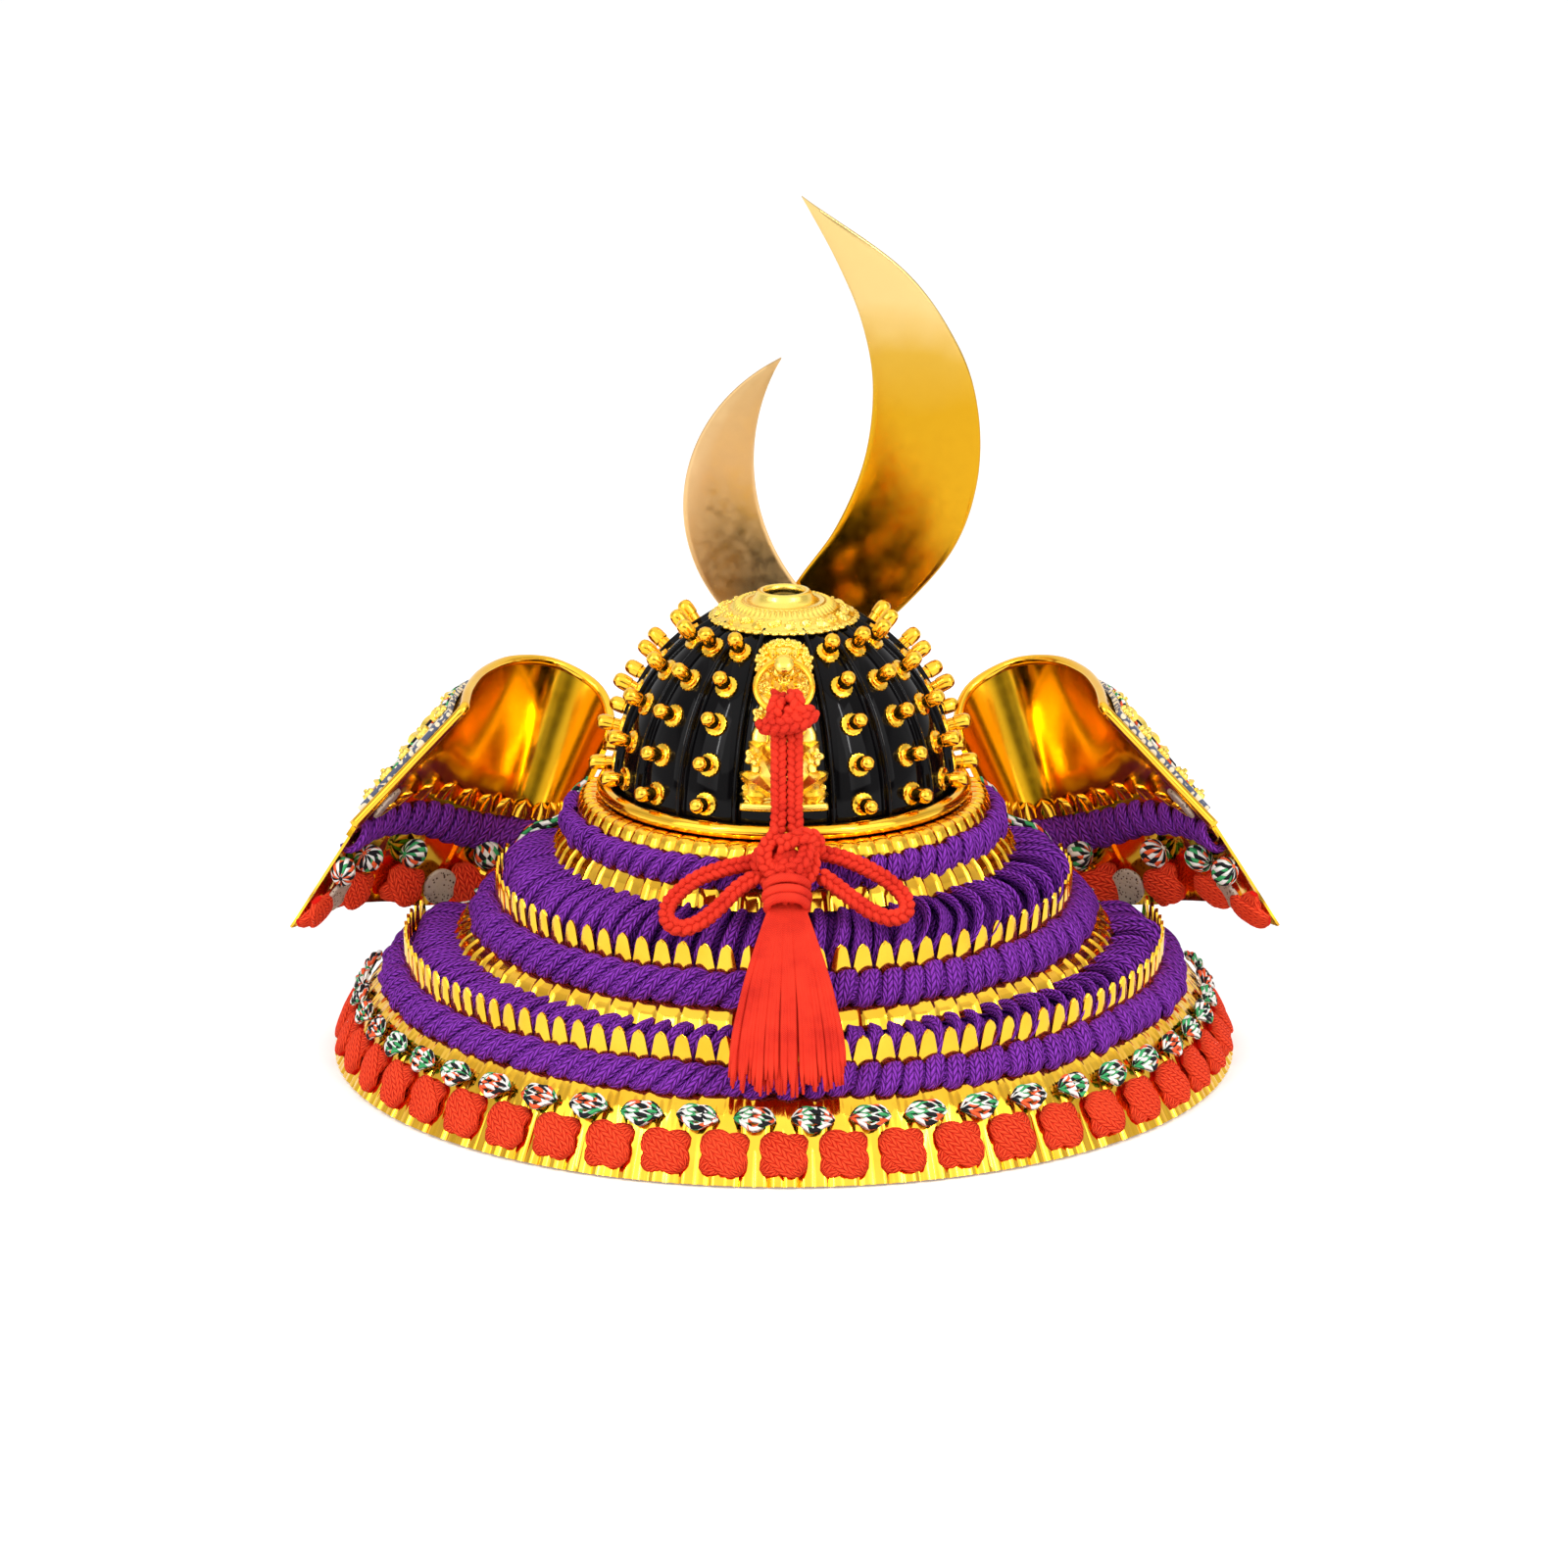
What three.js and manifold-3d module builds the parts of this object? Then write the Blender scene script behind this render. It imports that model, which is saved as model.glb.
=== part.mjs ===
// Display-size kabuto helmet: ribbed bowl, three-hoop neck guard with lacing, turned-back wings,
// crescent crest and a tied cord at the back. Millimetres, +Z up, +Y is the wearer's front.
// Angles round the bowl are in degrees from the back, growing towards +X.
import * as THREE from 'three';
import { mergeVertices } from 'three/addons/utils/BufferGeometryUtils.js';
import Module from 'manifold-3d';

const wasm = await Module();
wasm.setup();

// ---------- driving sizes ----------
const BOWL_AXIS_Y = 17.1; // bowl's own axis, forward of the middle of the whole helmet
const CLEARANCE = 0.3; // gap kept between neighbouring pieces
const BOWL = { radius: 36.5, height: 40.7, rimZ: 59.5, skirtZ: 55.6, wall: 1.6, holeRadius: 4.2 };
const PLATE_EDGES = [16.5, 37.5, 58.5, 79.5, 100.5, 121.5, 142.5, 163.5]; // rib angles on one side
const RIB = { halfWidthDegrees: 1.5, lift: 0.9, topElevation: 66 };
const RIVET = { washerRadius: 3.0, washerHeight: 1.1, studRadius: 1.45, length: 4.9, sink: 0.9, sides: 4 };
const RIVET_HEIGHTS = [64.3, 72.4, 80.4, 87.4, 93.4]; // z of the five rivets in a column
const HOOP = { radius: 39.0, tube: 1.6, z: 59.7, sides: 5, steps: 30 };

// Section of the crown mount, from its rim over its tiers and back below: scallop is how far the
// valleys between its lobes draw in.
const CROWN_LOBES = 10;
const CROWN_TIERS = [
  { r: 16.4, z: 96.6, scallop: 0.9 }, { r: 16.4, z: 97.4, scallop: 0.9 },
  { r: 12.8, z: 99.5, scallop: 0 }, { r: 10.2, z: 100.3, scallop: 0.3 },
  { r: 6.4, z: 101.3, scallop: 0 }, { r: 6.0, z: 103.0, scallop: 0 },
  { r: 4.4, z: 103.0, scallop: 0 }, { r: 4.4, z: 100.7, scallop: 0 },
  { r: 10.0, z: 99.4, scallop: 0 },
];

// Relief plate: half its angle, its lowest and highest elevation on the bowl, and its thicknesses.
const REAR_PLATE = { half: 13.2, low: 6, high: 62, sheet: 0.8, relief: 1.5, rows: 9 };
const RING = { postElevation: 48, radius: 5.9, wire: 0.55, lift: 3.6, drop: 4.1, steps: 12 };
const POST = { radius: 0.95, length: 3.6, knobRadius: 2.1, knobTop: 1.3, knobHeight: 1.3 };

const SHEET = 1.2; // gilt sheet of lames, wings and visor
const LAME_END = 106; // degrees from the back where the lames stop
const LAME_SEGMENTS = 22; // flat lengths that make up a lame's turn
const BLADE = { thickness: 1.0, lean: 8, y: 49.5, footZ: 60 };
const CORD_RADIUS = 1.65;
const CORD_SIDES = 8;
const SIDES = [['left', -1], ['right', 1]]; // names of the two sides and the sign of x on each

// Outer faces of the sheets, from the top edge down: r from the bowl's axis, z above the floor.
const LAME_1 = [
  { r: 37.3, z: 57.4 }, { r: 43.4, z: 56.6 }, { r: 43.9, z: 49.6 }, { r: 50.0, z: 46.9 },
];
const LAME_2 = [
  { r: 61.2, z: 37.2 }, { r: 61.2, z: 34.3 }, { r: 65.2, z: 28.9 }, { r: 71.0, z: 27.4 },
];
const LAME_3 = [
  { r: 81.4, z: 24.3 }, { r: 81.3, z: 20.3 }, { r: 85.3, z: 15.7 }, { r: 90.6, z: 12.6 },
  { r: 97.3, z: 0.0 },
];
const HANGING_1 = [
  { r: 47.2, z: 45.4 }, { r: 57.6, z: 42.4 }, { r: 59.5, z: 34.4 },
];
const HANGING_2 = [
  { r: 67.5, z: 25.9 }, { r: 77.4, z: 25.6 }, { r: 79.5, z: 19.6 },
];
const HANGING_THICKNESS = 2.0;

// Rope-like lacing: centre of its section, half sizes across and along the lame, slope of the lame.
const ROPES = [
  { name: 'rope_lacing_1', r: 45.9, z: 53.0, thick: 1.6, tall: 3.3, slope: 90, strands: 22 },
  { name: 'rope_lacing_2', r: 65.1, z: 32.5, thick: 1.6, tall: 3.6, slope: 53, strands: 22 },
  { name: 'rope_lacing_3', r: 84.8, z: 19.0, thick: 1.5, tall: 3.2, slope: 45, strands: 26 },
];

// Leaf tips along a lame's upper edge.
const TIPS_2 = { perSegment: 2, rise: 3.7, outward: 0.5 };
const TIPS_3 = { perSegment: 3, rise: 3.5, outward: 0.5 };

// Cross-stitch patches standing proud on lame 3.
const PATCHES = { pitch: 7.5, perSide: 13, r: 94.3, z: 6.2, wide: 8.6, tall: 7.6, thick: 1.6 };

// Cord down each front end of the neck guard, from the lip of lame 2 to the foot of lame 3.
const EDGE_CORD = { radius: 1.2, beyondEnd: 1.6, sides: 5, steps: 9 };
const EDGE_CORD_LINE = [
  { r: 72.2, z: 25.6 }, { r: 79.4, z: 23.4 }, { r: 82.4, z: 19.8 }, { r: 86.4, z: 16.0 },
  { r: 90.4, z: 12.6 }, { r: 93.6, z: 7.4 }, { r: 96.0, z: 2.2 },
];

// Right wing, station by station from its root on lame 1, forward, round the bend and back out.
// Each station has a point [x, y, z] on the top edge, the middle line and the bottom edge.
const WING = [
  { top: [42.4, 13.0, 56.6], mid: [48.9, 14.8, 46.6], end: [65.4, 20.2, 30.2] },
  { top: [38.6, 29.0, 63.4], mid: [48.5, 26.5, 42.6], end: [62.6, 25.6, 27.0] },
  { top: [41.4, 38.8, 69.6], mid: [52.2, 34.4, 40.8], end: [65.0, 29.2, 24.6] },
  { top: [50.6, 41.4, 74.6], mid: [60.2, 36.2, 41.6], end: [71.6, 29.8, 23.8] },
  { top: [59.4, 35.6, 77.0], mid: [69.2, 31.2, 45.0], end: [80.0, 26.8, 24.2] },
  { top: [65.6, 24.4, 77.6], mid: [77.4, 21.4, 50.6], end: [90.6, 18.6, 27.8] },
  { top: [68.8, 10.4, 77.4], mid: [86.2, 9.2, 52.8], end: [100.2, 9.4, 28.8] },
  { top: [69.6, -1.4, 76.4], mid: [92.8, -1.6, 51.0], end: [107.6, -0.4, 27.4] },
];
const WING_STEPS = 10; // flat lengths along a wing

// On a wing, s runs from its root (0) to its free edge (1), and v from its top edge (0) over its
// middle line (1) to its bottom edge (2).
const LEATHER = { thickness: 1.2, gap: 0.5, firstStep: 3, top: 0.06, bottom: 0.92 };
const WING_TRIM_RADIUS = 1.1;
const WING_ROPE = { v: 1.14, thick: 1.7, tall: 2.5, start: 0.03, end: 0.98, sides: 6 };
const WING_BAND_TOP = 1.29;
const WING_DISCS = [{ s: 0.57, v: 1.66 }, { s: 0.83, v: 0.86 }, { s: 0.87, v: 1.6 }];
const WING_DISC = { radius: 4.15, thickness: 0.9, sides: 8, lift: 1.4 };
const WING_BOSS = { s: 0.76, v: 0.5, radius: 7.5, topRadius: 3, height: 1.8, gap: 0.9, sides: 10 };

// Visor: half angle from the front, inner edge, reach forward and drop at the middle.
const VISOR = { end: 50, innerR: 41.2, innerZ: 58.8, reach: 19.5, drop: 8.5, thick: 1.4, steps: 14 };
const VISOR_TRIM = { radius: 1.0, beyond: 1.4, sides: 5, steps: 16 };

// Holder of the crest, seen from the side: y forward of the bowl's axis, z above the floor.
const HOLDER_WIDTH = 14;
const HOLDER_SIDE = [
  { y: 46.4, z: 57.7 }, { y: 48, z: 57.2 }, { y: 51.8, z: 55.5 }, { y: 51.8, z: 62.5 },
  { y: 46.4, z: 62.5 },
];

// Tied cord: points of each run, x to the side, y forward of the bowl's axis, z up.
const STRAND = [
  [0, -34.0, 88.6], [0, -37.6, 86.2], [0, -39.2, 82.6], [0, -40.6, 78.0], [0, -42.2, 73.0],
  [0, -43.6, 68.2], [0, -46.2, 65.6],
];
const STRAND_SPACING = 1.85; // of each strand's centre from the pair's middle
const CORD_MIDDLE_X = 0.6;
const LOOP_LEFT = [
  [-5.9, -50.2, 57.0], [-11.6, -50.6, 55.6], [-17.4, -50.8, 53.6], [-21.8, -52.0, 50.8],
  [-24.4, -54.4, 48.2], [-24.4, -57.6, 46.0], [-21.6, -60.2, 45.1], [-17.6, -59.8, 46.3],
  [-13.4, -57.6, 49.2], [-9.6, -55.4, 52.4], [-6.2, -54.2, 54.4],
];
const LOOP_RIGHT = [
  [7.6, -49.4, 58.6], [12.2, -49.6, 57.4], [17.2, -50.0, 55.3], [22.0, -50.9, 52.6],
  [25.4, -53.0, 49.6], [25.6, -56.0, 47.3], [22.6, -58.2, 46.7], [18.6, -58.2, 48.0],
  [14.6, -56.8, 50.4], [11.0, -55.2, 52.8], [8.2, -54.2, 54.6],
];
const KNOT = { y: -51.9, z: 58.6, wide: 11.4, tall: 12.6, deep: 6.8 };
const HITCH = { y: -42.6, z: 84.0, wide: 13.6, tall: 4.6, deep: 3.6 };
const TASSEL_LINE = [
  { y: -58.2, z: 51.4, half: 3.2, deep: 3.2 }, { y: -66.2, z: 45.6, half: 5.8, deep: 3.4 },
  { y: -77.6, z: 37.2, half: 9.4, deep: 2.9 },
  { y: -88.2, z: 29.6, half: 11.6, deep: 2.6 }, { y: -95.2, z: 19.2, half: 12.8, deep: 2.4 },
];
const TASSEL_LOCKS = 5;
const TASSEL_HEAD = { y: -59.6, z: 51.0, wide: 8.4, tall: 8.2, deep: 6.2 };

const GOLD = { color: 0xe0a82e, roughness: 0.25, metalness: 1.0 };
const BLACK = { color: 0x0b0a0c, roughness: 0.12, metalness: 0.1 };
const PURPLE = { color: 0x5b2a8a, roughness: 0.9, metalness: 0.0 };
const RED = { color: 0xe8321e, roughness: 0.85, metalness: 0.0 };
const BRAID = { color: 0xd8d8cc, roughness: 0.85, metalness: 0.0 };
const HIDE = { color: 0xe9dcc2, roughness: 0.7, metalness: 0.0 };
const GREY = { color: 0xa9a49a, roughness: 0.6, metalness: 0.3 };

// ---------- helpers ----------
const helmet = new THREE.Group();
const rad = THREE.MathUtils.degToRad;
const vec = (x, y, z) => new THREE.Vector3(x, y, z);

// Point at an angle from the back, a distance from the bowl's axis and a height.
function around(degrees, r, z) {
  return vec(r * Math.sin(rad(degrees)), -r * Math.cos(rad(degrees)), z);
}

function geometryFromTriangles(points, triangles) {
  const geometry = new THREE.BufferGeometry();
  const coordinates = points.flatMap((point) => point.toArray());
  geometry.setAttribute('position', new THREE.Float32BufferAttribute(coordinates, 3));
  geometry.setIndex(triangles.flat());
  return geometry;
}

function toSolid(geometry) {
  const bare = geometry.clone();
  for (const name of ['normal', 'uv']) bare.deleteAttribute(name);
  const merged = mergeVertices(bare, 1e-4);
  const vertProperties = new Float32Array(merged.attributes.position.array);
  const triVerts = new Uint32Array(merged.index.array);
  return new wasm.Manifold(new wasm.Mesh({ numProp: 3, vertProperties, triVerts }));
}

function fromSolid(solid) {
  const mesh = solid.getMesh();
  const geometry = new THREE.BufferGeometry();
  geometry.setAttribute('position', new THREE.BufferAttribute(mesh.vertProperties, 3));
  geometry.setIndex(new THREE.BufferAttribute(mesh.triVerts, 1));
  return geometry;
}

function join(geometries) {
  return fromSolid(geometries.map(toSolid).reduce((sum, next) => sum.add(next)));
}

function addPiece(name, geometry, finish) {
  const mesh = new THREE.Mesh(geometry, new THREE.MeshStandardMaterial(finish));
  mesh.name = name;
  helmet.add(mesh);
}

// Closed body through rings of equal count; the first and last are capped unless the body is a loop.
function loftRings(rings, isLoop = false) {
  const count = rings[0].length;
  const points = rings.flat();
  const triangles = [];
  const spans = isLoop ? rings.length : rings.length - 1;
  for (let k = 0; k < spans; k += 1) {
    const here = k * count;
    const there = ((k + 1) % rings.length) * count;
    for (let i = 0; i < count; i += 1) {
      const j = (i + 1) % count;
      triangles.push([here + i, here + j, there + j], [here + i, there + j, there + i]);
    }
  }
  if (!isLoop) {
    const last = (rings.length - 1) * count;
    for (let i = 1; i < count - 1; i += 1) {
      triangles.push([0, i + 1, i], [last, last + i, last + i + 1]);
    }
  }
  return orientOutward(points, triangles);
}

// The same for a fluted section whose last two points are its flat back: its caps fan from them.
function loftFluted(rings) {
  const count = rings[0].length;
  const points = rings.flat();
  const triangles = [];
  for (let k = 0; k < rings.length - 1; k += 1) {
    for (let i = 0; i < count; i += 1) {
      const [a, b] = [k * count + i, k * count + ((i + 1) % count)];
      triangles.push([a, b, b + count], [a, b + count, a + count]);
    }
  }
  const middle = Math.floor((count - 2) / 2);
  for (const [base, isLast] of [[0, false], [(rings.length - 1) * count, true]]) {
    const cap = [[count - 2, count - 1, middle]];
    for (let i = 0; i < count - 3; i += 1) cap.push([i < middle ? count - 1 : count - 2, i, i + 1]);
    for (const [a, b, c] of cap) {
      triangles.push(isLast ? [base + a, base + b, base + c] : [base + a, base + c, base + b]);
    }
  }
  return orientOutward(points, triangles);
}

// Closed sheet between two grids of the same size, grid[row][column].
function loftSheet(front, back) {
  const rows = front.length;
  const columns = front[0].length;
  const points = [...front.flat(), ...back.flat()];
  const offset = rows * columns;
  const triangles = [];
  const quad = (a, b, c, d) => triangles.push([a, b, c], [a, c, d]);
  for (let i = 0; i < rows - 1; i += 1) {
    for (let j = 0; j < columns - 1; j += 1) {
      const a = i * columns + j;
      quad(a, a + 1, a + columns + 1, a + columns);
      quad(offset + a, offset + a + columns, offset + a + columns + 1, offset + a + 1);
    }
  }
  const rim = [];
  for (let j = 0; j < columns - 1; j += 1) rim.push(j);
  for (let i = 0; i < rows - 1; i += 1) rim.push(i * columns + columns - 1);
  for (let j = columns - 1; j > 0; j -= 1) rim.push((rows - 1) * columns + j);
  for (let i = rows - 1; i > 0; i -= 1) rim.push(i * columns);
  rim.forEach((a, k) => {
    const b = rim[(k + 1) % rim.length];
    quad(b, a, offset + a, offset + b);
  });
  return orientOutward(points, triangles);
}

// Turns all triangles over when the body they enclose comes out inside out.
function orientOutward(points, triangles) {
  let volume = 0;
  for (const [a, b, c] of triangles) {
    volume += points[a].dot(points[b].clone().cross(points[c]));
  }
  const facing = volume < 0 ? triangles.map(([a, b, c]) => [a, c, b]) : triangles;
  return geometryFromTriangles(points, facing);
}

// Moves a profile of {r, z} inward and down by a distance, along the mean of its edge normals.
function offsetProfile(profile, distance) {
  return profile.map((point, i) => {
    const before = profile[Math.max(i - 1, 0)];
    const after = profile[Math.min(i + 1, profile.length - 1)];
    const run = new THREE.Vector2(after.r - before.r, after.z - before.z).normalize();
    return { r: point.r + run.y * distance, z: Math.max(point.z - run.x * distance, 0) };
  });
}

// Sheet turned about the bowl's axis, from one front end to the other, between two profiles.
function turnedSheet(outer, inner, end, segments) {
  const angles = Array.from({ length: segments + 1 }, (_, k) => -end + (2 * end * k) / segments);
  const grid = (profile) => angles.map((angle) => profile.map(({ r, z }) => around(angle, r, z)));
  return loftSheet(grid(outer), grid(inner));
}

// Tube along a curve with a round section.
function tube(points, radius, sides, steps) {
  const curve = new THREE.CatmullRomCurve3(points, false, 'centripetal');
  const section = new THREE.Shape(Array.from({ length: sides }, (_, k) => {
    const turn = (2 * Math.PI * (k + 0.5)) / sides;
    return new THREE.Vector2(radius * Math.cos(turn), radius * Math.sin(turn));
  }));
  return new THREE.ExtrudeGeometry(section, { steps, bevelEnabled: false, extrudePath: curve });
}

// Round tube straight from point to point, mitred at each.
function polylineTube(points, radius, sides) {
  const rings = points.map((point, k) => {
    const before = points[Math.max(k - 1, 0)];
    const after = points[Math.min(k + 1, points.length - 1)];
    const ahead = after.clone().sub(before).normalize();
    const across = ahead.clone().cross(vec(0, 0, 1)).normalize();
    const up = across.clone().cross(ahead);
    return Array.from({ length: sides }, (_, i) => {
      const turn = (2 * Math.PI * (i + 0.5)) / sides;
      return point.clone()
        .addScaledVector(across, radius * Math.cos(turn))
        .addScaledVector(up, radius * Math.sin(turn));
    });
  });
  return loftRings(rings);
}

// Places a body built round the origin: its own x, y, z go along the three given directions.
function placed(geometry, position, xAxis, yAxis, zAxis) {
  const matrix = new THREE.Matrix4().makeBasis(xAxis, yAxis, zAxis).setPosition(position);
  return geometry.applyMatrix4(matrix);
}

// Directions at an angle round the bowl on a slope: along, up the slope, and outward from it.
function frameAround(degrees, slopeRun, slopeRise) {
  const along = around(degrees + 90, 1, 0);
  const up = around(degrees, slopeRun, slopeRise).normalize();
  return { along, up, out: along.clone().cross(up) };
}

// ---------- bowl ----------
function bowlPoint(degrees, elevation, lift = 0) {
  const [cos, sin] = [Math.cos(rad(elevation)), Math.sin(rad(elevation))];
  const normal = new THREE.Vector2(cos / BOWL.radius, sin / BOWL.height).normalize();
  const r = BOWL.radius * cos + normal.x * lift;
  const z = BOWL.rimZ + BOWL.height * sin + normal.y * lift;
  return around(degrees, r, z);
}

function bowlNormal(degrees, elevation) {
  return bowlPoint(degrees, elevation, 1).sub(bowlPoint(degrees, elevation, 0));
}

// Dome closed by a flat foot, with its top point on the axis.
function dome(angles, elevations, liftAt, footZ) {
  const rows = [angles.map((angle) => bowlPoint(angle, 0, liftAt(angle, 0)).setZ(footZ))];
  for (const elevation of elevations) {
    rows.push(angles.map((angle) => bowlPoint(angle, elevation, liftAt(angle, elevation))));
  }
  const count = angles.length;
  const points = [...rows.flat(), vec(0, 0, footZ), bowlPoint(0, 90, liftAt(0, 90))];
  const triangles = [];
  for (let i = 0; i < rows.length - 1; i += 1) {
    for (let j = 0; j < count; j += 1) {
      const next = (j + 1) % count;
      const [a, b] = [i * count + j, i * count + next];
      triangles.push([a, b, b + count], [a, b + count, a + count]);
    }
  }
  const last = (rows.length - 1) * count;
  for (let j = 0; j < count; j += 1) {
    const next = (j + 1) % count;
    triangles.push([rows.length * count, next, j], [last + j, last + next, rows.length * count + 1]);
  }
  return orientOutward(points, triangles);
}

function rivet(degrees, z) {
  const elevation = THREE.MathUtils.radToDeg(Math.asin((z - BOWL.rimZ) / BOWL.height));
  const profile = [
    [0, -RIVET.sink], [RIVET.washerRadius, -RIVET.sink], [RIVET.studRadius, RIVET.washerHeight],
    [RIVET.studRadius * 0.85, RIVET.length], [0, RIVET.length],
  ].map(([x, y]) => new THREE.Vector2(x, y));
  const out = bowlNormal(degrees, elevation);
  const along = around(degrees + 90, 1, 0);
  const body = new THREE.LatheGeometry(profile, RIVET.sides);
  return placed(body, bowlPoint(degrees, elevation), along, out, along.clone().cross(out));
}

function buildBowl() {
  const ribAngles = [...PLATE_EDGES, ...PLATE_EDGES.map((angle) => 360 - angle)].sort((a, b) => a - b);
  const { halfWidthDegrees } = RIB;
  const angles = ribAngles.flatMap((rib) => [rib - halfWidthDegrees, rib, rib + halfWidthDegrees]);
  const isRib = (angle) => ribAngles.includes(angle);
  const ribLift = (angle, elevation) => (
    isRib(angle) && elevation > 0 && elevation < RIB.topElevation ? RIB.lift : 0
  );
  const outer = dome(angles, [5, 21, 37, 53, 66, 79], ribLift, BOWL.skirtZ);
  const coarse = Array.from({ length: 14 }, (_, k) => (k * 360) / 14);
  const inner = dome(coarse, [0, 30, 58], () => -BOWL.wall, BOWL.skirtZ - 1);
  const hole = new THREE.CylinderGeometry(BOWL.holeRadius, BOWL.holeRadius, 20, 12);
  hole.rotateX(Math.PI / 2).translate(0, 0, BOWL.rimZ + BOWL.height);
  let solid = toSolid(outer).subtract(toSolid(inner)).subtract(toSolid(hole));
  for (let plate = 0; plate < PLATE_EDGES.length - 1; plate += 1) {
    const middle = (PLATE_EDGES[plate] + PLATE_EDGES[plate + 1]) / 2;
    for (const degrees of [middle, -middle]) {
      for (const z of RIVET_HEIGHTS) {
        solid = solid.add(toSolid(rivet(degrees, z)));
      }
    }
  }
  addPiece('bowl_shell', fromSolid(solid), BLACK);
}

// Tiered mount round the crown hole, scalloped at its rim.
function buildCrownMount() {
  const steps = CROWN_LOBES * 2;
  const rings = Array.from({ length: steps }, (_, k) => {
    const isValley = k % 2 === 1;
    return CROWN_TIERS.map(({ r, z, scallop }) => (
      around((360 * k) / steps, r - (isValley ? scallop : 0), z)
    ));
  });
  addPiece('crown_mount', loftRings(rings, true), GOLD);
}

function buildHoop() {
  const hoop = new THREE.TorusGeometry(HOOP.radius, HOOP.tube, HOOP.sides, HOOP.steps);
  addPiece('rim_hoop', hoop.translate(0, 0, HOOP.z), GOLD);
}

// Relief plate down the back, with the post and knob that hold the ring.
function buildRearPlate() {
  const columns = [-1, -0.5, 0, 0.5, 1];
  const rows = Array.from({ length: REAR_PLATE.rows }, (_, k) => k / (REAR_PLATE.rows - 1));
  const lift = (side, v, row) => {
    const edge = Math.abs(side) > 0.99 ? 0 : 1;
    const leaf = row % 2 === 0 ? 1 : 0.35;
    const spine = Math.abs(side) < 0.3 ? 1 : leaf;
    return CLEARANCE + REAR_PLATE.sheet + edge * spine * REAR_PLATE.relief * (v > 0.03 ? 1 : 0.4);
  };
  const at = (side, v, rise) => {
    const half = REAR_PLATE.half * (1 - 0.06 * v);
    return bowlPoint(side * half, REAR_PLATE.low + (REAR_PLATE.high - REAR_PLATE.low) * v, rise);
  };
  const front = rows.map((v, row) => columns.map((side) => at(side, v, lift(side, v, row))));
  const back = rows.map((v) => columns.map((side) => at(side, v, CLEARANCE)));
  const out = bowlNormal(0, RING.postElevation);
  const along = vec(1, 0, 0);
  const down = along.clone().cross(out);
  const { radius, length, knobRadius, knobTop, knobHeight } = POST;
  const post = new THREE.CylinderGeometry(radius, radius, length, 8);
  const knob = new THREE.CylinderGeometry(knobTop, knobRadius, knobHeight, 8);
  knob.translate(0, (length + knobHeight) / 2 - 0.25, 0);
  const seat = bowlPoint(0, RING.postElevation, RING.lift);
  const parts = [post, knob].map((part) => placed(part, seat, along, out, down));
  addPiece('rear_plate', join([loftSheet(front, back), ...parts]), GOLD);
}

function buildRing() {
  const out = bowlNormal(0, RING.postElevation - 6);
  const along = vec(1, 0, 0);
  const up = out.clone().cross(along);
  const centre = bowlPoint(0, RING.postElevation, RING.lift).addScaledVector(up, -RING.drop);
  const ring = new THREE.TorusGeometry(RING.radius, RING.wire, 5, RING.steps);
  addPiece('rear_ring', placed(ring, centre, along, up, out), GOLD);
}

// ---------- neck guard ----------
// Turned sheet whose upper edge carries pointed leaf tips, several to each flat length.
function leafedSheet(profile, tips) {
  const inner = offsetProfile(profile, SHEET);
  const step = (2 * LAME_END) / LAME_SEGMENTS;
  const points = [];
  const triangles = [];
  const add = (point) => points.push(point) - 1;
  const facet = (a, b, c, isBack) => triangles.push(isBack ? [a, c, b] : [a, b, c]);
  const edge = (face, k) => {
    const left = around(-LAME_END + step * Math.floor(k), face[0].r, face[0].z);
    const right = around(-LAME_END + step * Math.ceil(k), face[0].r, face[0].z);
    return left.lerp(right, k - Math.floor(k));
  };
  const tipCount = LAME_SEGMENTS * tips.perSegment;
  const faces = [profile, inner].map((face, side) => {
    const isBack = side === 1;
    const top = Array.from({ length: tipCount + 1 }, (_, k) => add(edge(face, k / tips.perSegment)));
    const apex = Array.from({ length: tipCount }, (_, k) => {
      const middle = edge(face, (k + 0.5) / tips.perSegment);
      const out = middle.clone().setZ(0).normalize().multiplyScalar(tips.outward);
      return add(middle.add(out).setZ(face[0].z + tips.rise));
    });
    apex.forEach((tip, k) => facet(top[k], top[k + 1], tip, isBack));
    const rows = face.slice(1).map(({ r, z }) => (
      Array.from({ length: LAME_SEGMENTS + 1 }, (_, k) => add(around(-LAME_END + step * k, r, z)))
    ));
    for (let k = 0; k < LAME_SEGMENTS; k += 1) {
      const [first, end] = [k * tips.perSegment, (k + 1) * tips.perSegment];
      for (let i = first; i < end; i += 1) facet(top[i], rows[0][k], top[i + 1], isBack);
      facet(rows[0][k], rows[0][k + 1], top[end], isBack);
      for (let i = 0; i < rows.length - 1; i += 1) {
        facet(rows[i][k], rows[i + 1][k], rows[i + 1][k + 1], isBack);
        facet(rows[i][k], rows[i + 1][k + 1], rows[i][k + 1], isBack);
      }
    }
    const zigzag = [top[0], ...apex.flatMap((tip, k) => [tip, top[k + 1]])];
    const lastEnd = rows.map((row) => row[LAME_SEGMENTS]);
    const foot = rows[rows.length - 1].slice(0, -1).reverse();
    const firstEnd = rows.slice(0, -1).map((row) => row[0]).reverse();
    return [...zigzag, ...lastEnd, ...foot, ...firstEnd];
  });
  const [front, back] = faces;
  front.forEach((a, k) => {
    const next = (k + 1) % front.length;
    triangles.push([a, front[next], back[next]], [a, back[next], back[k]]);
  });
  return orientOutward(points, triangles);
}

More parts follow.
